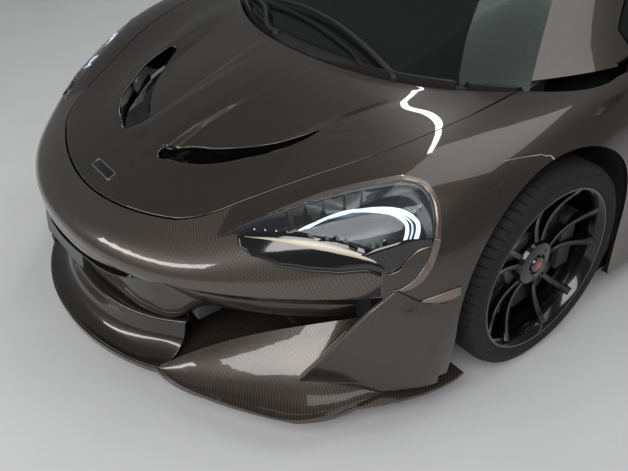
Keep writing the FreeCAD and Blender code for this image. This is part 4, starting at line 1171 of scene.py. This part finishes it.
class SUPERCAR_OT_cabin(bpy.types.Operator):
    """Padded seats, steering wheel, instrument hood, centre screen and air vents"""

    bl_idname = "supercar.cabin"
    bl_label = "Cabin"

    # Each pad's size, its place from the seat's middle, whether it leans back, and sewn channels
    pads = (
        ("cushion", (0.34, 0.46, 0.12), (0.0, -0.060, 0.300), False, 6),
        ("cushion_bolster_in", (0.09, 0.44, 0.15), (-0.195, -0.055, 0.325), False, 0),
        ("cushion_bolster_out", (0.09, 0.44, 0.15), (0.195, -0.055, 0.325), False, 0),
        ("back", (0.32, 0.10, 0.56), (0.0, 0.160, 0.560), True, 0),
        ("back_bolster_in", (0.09, 0.15, 0.44), (-0.195, 0.130, 0.520), True, 0),
        ("back_bolster_out", (0.09, 0.15, 0.44), (0.195, 0.130, 0.520), True, 0),
        ("headrest", (0.24, 0.09, 0.15), (0.0, 0.222, 0.815), True, 0),
    )
    seat_x, seat_lean = 0.330, -18
    column_at = Vector((0.330, -0.417, 0.690))
    column_axis = Vector((0, -0.980891, -0.194556))

    def execute(self, context):
        for side, hand in SIDES:
            self.seat(side * self.seat_x, hand)
        self.wheel()
        self.dash()
        return {"FINISHED"}

    def seat(self, c, hand):
        """Seven pads in a carbon shell on rails."""
        lean = tilt(self.seat_lean)
        for name, size, (x, y, z), leans, seams in self.pads:
            part = moved(pad(size, seams=seams), (c + x, y, z), lean if leans else None)
            obj = mesh_piece(f"seat_{hand}_{name}", part, "seat_leather", "seat_leather",
                             replaces=("seats",))
        shell = moved(pad((0.50, 0.05, 0.80), 0.45), (c, 0.215, 0.520), lean)
        base = moved(pad((0.50, 0.52, 0.05), 0.45), (c, -0.050, 0.235))
        rails, posts = [], []
        for x in (c - 0.16, c + 0.16):
            rails.append(tube([(x, -0.26, 0.150), (x, 0.20, 0.150)], 0.014, 8))
            posts += [tube([(x, y, 0.126), (x, y, 0.226)], 0.011, 8) for y in (-0.2, 0.12)]
        mesh_piece(f"seat_{hand}_shell", merge(shell, base, *rails, *posts), "carbon_black",
                   "tub_carbon")

    def wheel(self):
        """A flat-bottomed rim with three spokes about the column's axis."""
        turn = facing(-self.column_axis, (0, 0, 1))
        lo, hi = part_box("steering_wheel")
        grip, steps = 0.0165, 96
        r = (hi[0] - lo[0]) / 2 - 0.017
        pts = []
        for i in range(steps + 1):
            a = 2 * math.pi * i / steps
            pts.append((r * math.cos(a), max(r * math.sin(a), -0.86 * r), 0.0))
        mesh_piece("steering_rim", moved(tube(pts, grip, 14, False), self.column_at, turn),
                   "seat_leather", "wheel_leather", "steering_wheel",
                   replaces=("steering_wheel",))
        parts = [pad((0.13, 0.11, 0.05), 0.5)]
        for a in (0.1, math.pi - 0.1, -math.pi / 2):
            reach = r * (0.85 if a < 0 else 0.98)
            cos, sin = math.cos(a), math.sin(a)
            parts.append(tube([(0.03 * cos, 0.03 * sin, 0.012),
                               (0.6 * reach * cos, 0.6 * reach * sin, 0.008),
                               (reach * cos, reach * sin, 0.0)], [0.026, 0.013, 0.011], 10))
        mesh_piece("steering_hub", moved(merge(*parts), self.column_at, turn), "cabin_dark",
                   "wheel_leather", "steering_wheel")

    def dash(self):
        """Hood and top of the dashboard, the middle screen and four sets of vent slats."""
        for name, part, place in (
                ("instrument_hood", pad((0.36, 0.20, 0.09), 0.6), (0.330, -0.560, 0.775)),
                ("dashboard_top", pad((1.20, 0.24, 0.06), 0.5), (0.0, -0.580, 0.748))):
            mesh_piece(name, moved(part, place), "cabin_dark", "trim_dark")
        screen = moved(pad((0.15, 0.014, 0.21), 0.12, 0.0), (0.0, -0.462, 0.680), tilt(-14))
        mesh_piece("centre_screen", screen, "gloss_black", "trim_dark")
        half, y, foot, pitch = 0.045, -0.470, 0.668, 0.010
        vents = [tube([(x - half, y, foot + pitch * k), (x + half, y, foot + pitch * k)], 0.0026, 6)
                 for x in (-0.60, -0.16, 0.13, 0.60) for k in range(5)]
        mesh_piece("air_vents", merge(*vents), "satin_silver", "trim_dark")


class SUPERCAR_OT_flanks(bpy.types.Operator):
    """Door mirrors, sill blades and door pulls"""

    bl_idname = "supercar.flanks"
    bl_label = "Flanks"

    mirror_inner, mirror_z, mirror_height = 0.905, 0.921, 0.074
    sill_start, sill_length = 0.318, 1.90

    def execute(self, context):
        for side, hand in SIDES:
            self.mirror(side, hand)
            self.sill(side, hand)
            pull = tube(spline([(0.784, -0.30, 0.52), (0.760, -0.25, 0.53), (0.756, -0.12, 0.54),
                                (0.784, -0.06, 0.55)], 6), 0.010, 10)
            rest = moved(pad((0.05, 0.42, 0.06), 0.4), (0.768, -0.02, 0.470))
            mesh_piece(f"door_pull_{hand}", merge(pull, rest), "cabin_dark", "trim_dark",
                       f"door_{hand}", side)
        return {"FINISHED"}

    def mirror(self, side, hand):
        """A painted shell on its stalk, with the glass in its rear face."""
        lo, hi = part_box(f"mirror_{hand}")
        outer = hi[0] if side > 0 else -lo[0]
        mid = Vector(((self.mirror_inner + outer) / 2, (lo[1] + hi[1]) / 2, self.mirror_z))
        size = (outer - self.mirror_inner, hi[1] - lo[1] - 0.004, self.mirror_height)
        stalk = spline([(0.925, mid.y, 0.900), (0.905, mid.y + 0.006, 0.872),
                        (0.884, mid.y + 0.012, 0.820), (0.868, -0.722, 0.772)], 5)
        waist = [0.008 + 0.005 * abs(i / 15 - 0.5) for i in range(len(stalk))]
        shell = merge(moved(pad(size, 0.55, 0.10), mid), tube(stalk, waist, 12))
        mesh_piece(f"mirror_{hand}_shell", shell, "paint", "paint", f"door_{hand}", side,
                   replaces=(f"mirror_{hand}",))

        def on_glass(x, z, h):
            return mid + Vector((x, size[1] / 2 - 0.0035 + h, z))

        levels = ((1, 1, -0.004), (1, 1, 0.001), (0.97, 0.94, 0.0018), (0.6, 0.5, 0.0018))
        face = plaque(rounded(size[0] * 0.70, 0.050, 0.016, 6), levels, on_glass)
        mesh_piece(f"mirror_{hand}_glass", face, "mirror_silver", "clear_glass", f"door_{hand}",
                   side)

    def sill(self, side, hand):
        """A thin blade along the sill that rises near its front end."""
        stations, inner, foot, under = 59, 0.110, 0.104, 0.1125
        blade = []
        for i in range(stations + 1):
            t = i / stations
            v = self.sill_start + self.sill_length * t
            x = float(np.interp(v, [0.318, 0.54, 1.40, 2.22], [0.912, 0.920, 0.936, 0.944]))
            rise = 0.030 * float(step(0.0, 1.0, 1 - abs(t - 0.06) * 6)) + 0.012 * t
            y = v + FRONT
            blade.append([(x - inner, y, foot), (x - 0.020, y, foot), (x, y, 0.106 + rise),
                          (x + 0.0005, y, 0.110 + rise), (x - 0.003, y, 0.112 + rise),
                          (x - 0.024, y, under), (x - inner, y, under)])
        mesh_piece(f"sill_blade_{hand}", rings_mesh(blade), "carbon", "carbon", side=side,
                   bevel=0.0008)


class SUPERCAR_OT_tail(bpy.types.Operator):
    """Tail lamp strips, rear mesh, exhaust liners and cover louvres"""

    bl_idname = "supercar.tail"
    bl_label = "Tail"

    pipe_x, pipe_z = 0.075, 0.660
    louvre_start, louvre_pitch = 0.52, 0.12

    def execute(self, context):
        holes = [(side * self.pipe_x, self.pipe_z, 0.052) for side, _ in SIDES]
        wire_mesh("rear_grille_mesh", ((-0.795, 0.568), (0.795, 0.792)), 2.1995, 0.020, holes)
        strip_x, strip_y = [0.42, 0.53, 0.64, 0.73, 0.81], [2.243, 2.236, 2.228, 2.213, 2.194]
        strip = [(x, float(np.interp(x, strip_x, strip_y)) + 0.001, 0.815)
                 for x in np.linspace(0.432, 0.800, 24)]
        pipe = lathe([(0.150, 0.0455), (-0.034, 0.0455), (-0.037, 0.0440), (-0.034, 0.0425),
                      (0.145, 0.0400), (0.148, 0.0005), (0.150, 0.0005)], 64)
        for side, hand in SIDES:
            mesh_piece(f"tail_lamp_{hand}_strip", tube(strip, 0.0055, 10), "led_red", "tail_lens",
                       side=side)
            liner = moved(pipe, (side * self.pipe_x, 2.244, self.pipe_z), tilt(-90, "Z"))
            mesh_piece(f"exhaust_{hand}_liner", liner, "exhaust_steel", "exhaust_steel")
            slats = [self.louvre(self.louvre_start + self.louvre_pitch * k)
                     for k in range(context.scene.supercar_sizes.louvres)]
            mesh_piece(f"cover_louvres_{hand}", merge(*slats), "black_plastic", "black_plastic",
                       side=side, bevel=0.0006)
        return {"FINISHED"}

    def louvre(self, y):
        """A slat across the engine cover, raised towards its rear edge."""
        rows = []
        for i in range(13):
            x = 0.13 + 0.24 * i / 12
            z = drop(x, y, "engine_cover")[0].z
            lift = 0.010 * math.sin(math.pi * i / 12) ** 0.5
            rows.append([(x, y - 0.034, z - 0.002), (x, y - 0.030, z + 0.001),
                         (x, y + 0.034, z + 0.001 + lift), (x, y + 0.036, z + lift),
                         (x, y + 0.030, z - 0.002)])
        return rings_mesh(rows)


class SUPERCAR_OT_headlamps(bpy.types.Operator):
    """Clear lens, black bucket, bright hook-shaped running light, projector, and rim in lightened
    paint as a painted highlight
    """

    bl_idname = "supercar.headlamps"
    bl_label = "Headlamps"

    # The running light's line, and for each of its bars how deep it is, its radius and its shift
    hook = ((0.640, -0.655, 0.575), (0.656, -0.633, 0.580), (0.690, -0.565, 0.597),
            (0.720, -0.512, 0.610), (0.760, -0.470, 0.622), (0.801, -0.447, 0.630),
            (0.835, -0.438, 0.622), (0.851, -0.442, 0.610), (0.858, -0.452, 0.590),
            (0.852, -0.463, 0.560), (0.842, -0.480, 0.535))
    bars = ((0.009, 0.0054, 0.0), (0.009, 0.0018, 0.013), (0.010, 0.0046, 0.024))
    shelf = ((0.610, -0.700, 0.530), (0.670, -0.635, 0.540), (0.730, -0.575, 0.545),
             (0.790, -0.520, 0.540))

    # Rows in mm round the lens's outer end: black glass from upper to inner, paint from inner to
    # under, and the rim's tail from near to far
    end_upper = [(792, -574, 556), (812, -545, 574), (838, -503, 588), (850, -478, 592),
                 (866, -453, 592), (882, -430, 590)]
    end_inner = [(836, -534, 508), (846, -519, 508), (854, -500, 518), (860, -479, 544),
                 (869, -455, 566), (884, -428, 572)]
    end_middle = [(838, -538, 488), (851, -519, 486), (863, -496, 488), (876, -470, 502),
                  (890, -444, 512), (904, -412, 514)]
    end_lower = [(841, -541, 470), (858, -517, 463), (874, -493, 449), (889, -471, 433),
                 (901, -450, 424), (917, -418, 418)]
    end_under = [(842, -540, 462), (860, -514, 452), (876, -490, 436), (891, -467, 420),
                 (903, -446, 411), (918, -415, 406)]
    tail_near = [(858, -524, 464), (870, -500, 470), (880, -473, 490), (886, -448, 524),
                 (887, -434, 560), (885, -424, 590)]
    tail_far = [(864, -510, 457), (880, -485, 462), (893, -458, 484), (899, -436, 520),
                (899, -422, 556), (896, -412, 588)]
    panels = ("headlamps", "front_fenders", "front_bumper", "corner_blades")

    # The lower glass's bottom edge in plan, and the two edges of the shadow at its outer end
    band_foot = ((0.575, -0.779), (0.610, -0.767), (0.673, -0.724), (0.724, -0.673),
                 (0.771, -0.618), (0.813, -0.560), (0.838, -0.531))
    shadow = (((0.782, -0.632, 0.4405), (0.815, -0.583, 0.4405), (0.8385, -0.545, 0.4405)),
              ((0.782, -0.632, 0.4415), (0.815, -0.583, 0.452), (0.8385, -0.545, 0.479)))

    def execute(self, context):
        for side, hand in SIDES:
            lamp = f"headlamp_{hand}"
            mesh_piece(f"{lamp}_lens", self.between(60, 25, 0.988, lambda t, s: 0.0),
                       "glass_clear", "clear_glass", side=side, thickness=0.003,
                       replaces=("headlamps",))
            mesh_piece(f"{lamp}_bucket", self.between(48, 21, 1.004, self.bowl), "glass_frit",
                       "black_plastic", side=side, thickness=0.002)
            for k, (sink, r, shift) in enumerate(self.bars):
                path = spline([self.inset(x - shift * 0.5, v - shift, z, sink)
                               for x, v, z in self.hook], 6)
                radii = [r * (0.35 + 0.65 * min(1.0, 3 * i / len(path)))
                         for i in range(len(path))]
                mesh_piece(f"{lamp}_running_light_{k + 1}", tube(path, radii, 12), "led_white",
                           "clear_glass", side=side)
            self.rim(side, lamp)
            self.outer_end(side, lamp)
            self.lower_band(side, hand)
            self.insides(side, lamp)
        return {"FINISHED"}

    def between(self, rows, cols, grow, depth):
        """A skin between the lamp's two plan lines, sunk by depth(t, s)."""
        inner, outer = even(outline(LAMP_INNER, 20), rows), even(outline(LAMP_OUTER, 20), rows)
        middle = np.concatenate([inner, outer]).mean(axis=0)
        grid = []
        for i in range(rows):
            row = []
            for j in range(cols):
                s = j / (cols - 1)
                q = inner[i] + (outer[i] - inner[i]) * s
                near = middle + (q - middle) * 0.988
                top, n = drop(near[0], near[1] + FRONT, "headlamps")
                q = middle + (q - middle) * grow
                at = tree("headlamps").find_nearest(Vector((q[0], q[1] + FRONT, top.z)))[0]
                row.append(at - n * depth(i / (rows - 1), s))
            grid.append(row)
        return open_skin(grid)

    def bowl(self, t, s):
        """The bucket's depth: nothing at its edges, and less towards its outer end."""
        edge = min(1.0, 5 * s, 7 * min(t, 1 - t)) ** 0.6 * min(1.0, 1.7 * (1 - s)) ** 1.5
        return 0.004 + (0.052 - 0.030 * float(step(0.55, 0.75, t))) * edge

    def inset(self, x, v, z, sink):
        """The point of the lamp's skin nearest a place, sunk by some depth."""
        p, n, *_ = tree("headlamps").find_nearest(Vector((x, v + FRONT, z)))
        if n.dot(p - Vector((0.70, -0.50 + FRONT, 0.40))) < 0:
            n = -n
        return p - n * sink

    def rim(self, side, lamp):
        """A lip in lightened paint, a painted highlight, along the lens's top edge and round its
        outer end.
        """
        line = even(outline(LAMP_INNER, 20)[6:] + outline(LAMP_OUTER, 20)[:-5:-1], 70)
        section = ((-0.0005, -0.006), (0.0, 0.0005), (0.0015, 0.0022), (0.006, 0.0030),
                   (0.011, 0.0018), (0.016, -0.0006))
        last = len(line) - 1
        grid = []
        for i, q in enumerate(line):
            n = left_of(line[max(i - 1, 0)], line[min(i + 1, last)])
            grow = min(1.0, i / 20) * min(1.0, (last - i) / 6)
            row = []
            for off, lift in section:
                g = q + n * off * (0.25 + 0.75 * grow)
                p, m = drop(g[0], g[1] + FRONT, "headlamps", "front_fenders")
                row.append(p + m * (lift * grow if lift > 0 else lift))
            grid.append(row)
        mesh_piece(f"{lamp}_rim", open_skin(grid), "paint_highlight", "paint", side=side)

    def outer_end(self, side, lamp):
        """Paint between the lens's lower end and the rim, ribbed glass, and the rim's tail in
        lightened paint, a painted highlight.
        """
        way, flat_way = (0.74, -0.60, 0.30), (0.55, -0.60, 0.58)
        paint = cover([self.end_inner, self.end_middle, self.end_lower, self.end_under],
                      self.panels, way, 0.0012)
        mesh_piece(f"{lamp}_corner", open_skin(paint), "paint", "paint", side=side,
                   thickness=0.0008)
        glass = cover([self.end_upper, self.end_inner], self.panels, flat_way, 0.0008)
        mesh_piece(f"{lamp}_end_glass", open_skin(glass), "gloss_black", "black_plastic",
                   side=side, thickness=0.0006)
        ribs = [tube([row[1], row[3], row[5]], 0.0015, 6) for row in glass[6:-14:3]]
        mesh_piece(f"{lamp}_end_ribs", merge(*ribs), "dark_alloy", "exhaust_steel", side=side)
        tail = cover([self.tail_near, self.tail_far], self.panels, way, 0.0026)
        mesh_piece(f"{lamp}_rim_tail", open_skin(tail), "paint_highlight", "paint", side=side,
                   thickness=0.0006)

    def lower_band(self, side, hand):
        """Black glass under the lens with a pale strip, a painted shadow on the bumper's corner at
        its outer end, and the dark gap under its foot.
        """
        count, cols = 40, 9
        top = even(outline(LAMP_OUTER, 20)[3:-20], count)
        band = []
        for a, b in zip(top, even(self.band_foot, count)):
            row = []
            for j in range(cols + 1):
                g = a * (1 - j / cols) + b * j / cols
                at, n = drop(g[0], g[1] + FRONT, "headlamps", "front_bumper")
                row.append(at + n * (0.0012 + 0.0016 * math.sin(math.pi * j / cols)))
            band.append(row)
        proud = Vector((0.3, -0.5, 0.8)).normalized()
        bright = []
        for i in range(2, 37):
            a, c = band[i][1], band[i][4]
            half = (a - c) * 0.42 * (min(1.0, i / 22) * min(1.0, (39 - i) / 6))
            mid = a.lerp(c, 0.5)
            bright.append([mid + half + proud * 0.0010, mid + proud * 0.0035,
                           mid - half + proud * 0.0010])
        # A near-black sheet over the bumper's lower corner: a painted shadow under the bumper's tip
        dark = []
        for a, b in zip(*(spline(edge, 8) for edge in self.shadow)):
            dark.append([self.on_panel(a.lerp(b, j / 5), 0.0014) for j in range(6)])
        gap = []
        for i in range(4, count):
            foot = band[i][cols]
            way = (foot - band[i][cols - 2]).normalized()
            wide = 0.002 + 0.007 * (i / 39) ** 2
            gap.append([foot - way * 0.001 + proud * 0.0016, foot + way * wide + proud * 0.0012])
        for name, rows, mat, slot, thick in (
                (f"headlamp_{hand}_lower_glass", band, "gloss_black", "black_plastic", 0.0008),
                (f"headlamp_{hand}_pale_strip", bright, "strip_beige", "exhaust_steel", 0.0006),
                (f"front_bumper_{hand}_painted_shadow", dark, "glass_frit", "black_plastic", 0.0008),
                (f"headlamp_{hand}_gap", gap, "glass_frit", "black_plastic", 0.0006)):
            mesh_piece(name, open_skin(rows), mat, slot, side=side, thickness=thick)

    def on_panel(self, q, lift):
        """A place moved onto the panels where one is within 8 mm, and lifted off them."""
        at, n, far = nearest(*q, (1, 0, 0), "headlamps", "front_fenders", "front_bumper")
        return (at if far < 0.008 else Vector((q[0], q[1] + FRONT, q[2]))) + n * lift

    def insides(self, side, lamp):
        """The strip under the running light, the projector with its ring, and the cooling fins."""
        shelf = spline([self.inset(x, v, z, 0.020) for x, v, z in self.shelf], 6)
        mesh_piece(f"{lamp}_lower_strip", tube(shelf, 0.0045, 8), "satin_silver",
                   "exhaust_steel", side=side)
        centre = self.inset(0.800, -0.505, 0.570, 0.026)
        turn = facing(Vector((0.35, -1.0, 0.25)).normalized())
        ball = lathe([(0.0, 0.0225), (0.006, 0.0220), (0.013, 0.0190), (0.019, 0.0120),
                      (0.0215, 0.0004)], 40, False)
        ring = lathe([(-0.012, 0.024), (0.004, 0.024), (0.006, 0.0255), (0.004, 0.028),
                      (-0.012, 0.028)], 40)
        mesh_piece(f"{lamp}_projector", moved(ball, centre, turn), "lens_glass", "clear_glass",
                   side=side)
        mesh_piece(f"{lamp}_projector_ring", moved(ring, centre, turn), "satin_silver",
                   "exhaust_steel", side=side)
        fins = []
        for k in range(9):
            t = k / 8
            a = self.inset(0.640 + 0.13 * t, -0.610 + 0.135 * t, 0.585 + 0.02 * t, 0.020)
            b = self.inset(0.660 + 0.13 * t, -0.622 + 0.120 * t, 0.560 + 0.02 * t, 0.034)
            fins.append(tube([a, b], 0.0022, 6))
        mesh_piece(f"{lamp}_fins", merge(*fins), "dark_alloy", "exhaust_steel", side=side)


class SUPERCAR_OT_stage(bpy.types.Operator):
    """Pale floor, soft studio lamps, world and the camera at the photograph's angle"""

    bl_idname = "supercar.stage"
    bl_label = "Stage"

    # Each lamp's place, what it looks at, its size and its power in watts
    lamps = {
        "key": ((3.4, -4.8, 4.4), (0.2, -1.4, 0.4), (4.0, 3.2), 230),
        "fill": ((-1.0, -6.2, 2.6), (0, -1.4, 0.4), (4.5, 0.5), 70),
        "strip_left": ((3.6, 1.2, 2.8), (0.7, -0.8, 0.6), (0.05, 5.0), 4),
        "strip_far": ((-3.2, 1.6, 3.4), (0, -1.2, 0.6), (0.12, 5.0), 30),
        "top": ((0.4, 0.6, 5.4), (0, 0.2, 0.6), (5.0, 3.5), 90),
    }
    floor_reach = 14.0
    wall_grey, light_grey = (0.74, 0.74, 0.74, 1), (0.16, 0.165, 0.17, 1)

    # Where the camera stands, and its yaw, pitch and roll in degrees, fitted to the photograph
    camera_at = (1.7924, -2.6656, 1.5564)
    camera_turn = (-53.504, -35.32, -1.361)

    def execute(self, context):
        scene = context.scene
        scene.view_settings.view_transform = "Standard"
        self.floor(scene)
        self.world(scene)
        for name, (place, aim, (width, height), power) in self.lamps.items():
            light = bpy.data.lights.new(name, "AREA")
            light.shape, light.size, light.size_y = "RECTANGLE", width, height
            light.energy = power
            lamp = bpy.data.objects.new(name, light)
            lamp.location = place
            look = Vector(aim) - Vector(place)
            lamp.rotation_euler = look.to_track_quat("-Z", "Y").to_euler()
            scene.collection.objects.link(lamp)
        self.camera(scene)
        return {"FINISHED"}

    def floor(self, scene):
        """A plain pale floor."""
        r = self.floor_reach
        floor = bpy.data.objects.new("floor", bpy.data.meshes.new("floor"))
        floor.data.from_pydata([(-r, -r, 0), (r, -r, 0), (r, r, 0), (-r, r, 0)], [],
                               [(0, 1, 2, 3)])
        scene.collection.objects.link(floor)
        n = Nodes("floor")
        dark, light = (0.60, 0.60, 0.60, 1), (0.63, 0.63, 0.63, 1)
        n.set(Base_Color=n.ramp(n.noise(3.0), (0.3, dark), (0.7, light)), Roughness=0.7)
        floor.data.materials.append(n.mat)

    def world(self, scene):
        """A pale wall for the camera, and a dimmer one for light and reflections."""
        world = bpy.data.worlds.new("studio")
        scene.world = world
        world.use_nodes = True
        nodes, links = world.node_tree.nodes, world.node_tree.links
        path = nodes.new("ShaderNodeLightPath")
        seen = nodes.new("ShaderNodeMath")
        seen.operation = "MAXIMUM"
        mix = nodes.new("ShaderNodeMix")
        mix.data_type = "RGBA"
        mix.inputs[6].default_value = self.light_grey
        mix.inputs[7].default_value = self.wall_grey
        links.new(path.outputs["Is Camera Ray"], seen.inputs[0])
        links.new(path.outputs["Is Transmission Ray"], seen.inputs[1])
        links.new(seen.outputs[0], mix.inputs[0])
        links.new(mix.outputs[2], nodes["Background"].inputs["Color"])

    def camera(self, scene):
        """The camera, from its place, turn and lens."""
        yaw, pitch, roll = (math.radians(a) for a in self.camera_turn)
        fwd = Vector((math.sin(yaw) * math.cos(pitch), math.cos(yaw) * math.cos(pitch),
                      math.sin(pitch)))
        right = fwd.cross(Vector((0, 0, 1))).normalized()
        up = right.cross(fwd)
        right, up = (right * math.cos(roll) + up * math.sin(roll),
                     up * math.cos(roll) - right * math.sin(roll))
        data = bpy.data.cameras.new("photo_camera")
        data.lens, data.sensor_width = scene.supercar_sizes.lens, 36.0
        camera = bpy.data.objects.new("photo_camera", data)
        camera.matrix_world = Matrix((right, up, -fwd)).transposed().to_4x4()
        camera.location = self.camera_at
        scene.collection.objects.link(camera)
        scene.camera = camera


SETTINGS = {"supercar_finishes": SupercarFinishes, "supercar_sizes": SupercarSizes}
OPERATORS = (
    SUPERCAR_OT_finishes, SUPERCAR_OT_wheels, SUPERCAR_OT_bonnet, SUPERCAR_OT_headlamps,
    SUPERCAR_OT_nose, SUPERCAR_OT_screen, SUPERCAR_OT_cabin, SUPERCAR_OT_flanks,
    SUPERCAR_OT_tail, SUPERCAR_OT_stage,
)


class SUPERCAR_PT_panel(bpy.types.Panel):
    """Lists the settings and the operators"""

    bl_idname = "SUPERCAR_PT_panel"
    bl_label = "Supercar"
    bl_space_type = "VIEW_3D"
    bl_region_type = "UI"
    bl_category = "Supercar"

    def draw(self, context):
        for key, group in SETTINGS.items():
            for value in group.__annotations__:
                self.layout.prop(getattr(context.scene, key), value)
        for operator in OPERATORS:
            self.layout.operator(operator.bl_idname)


CLASSES = tuple(SETTINGS.values()) + OPERATORS + (SUPERCAR_PT_panel,)


def register():
    for cls in CLASSES:
        bpy.utils.register_class(cls)
    for key, group in SETTINGS.items():
        setattr(bpy.types.Scene, key, PointerProperty(type=group))


def unregister():
    for key in SETTINGS:
        delattr(bpy.types.Scene, key)
    for cls in reversed(CLASSES):
        bpy.utils.unregister_class(cls)


def main():
    """Makes everything."""
    register()
    for operator in OPERATORS:
        group, name = operator.bl_idname.split(".")
        getattr(getattr(bpy.ops, group), name)()
    bpy.context.view_layer.update()


if __name__ == "__main__":
    main()
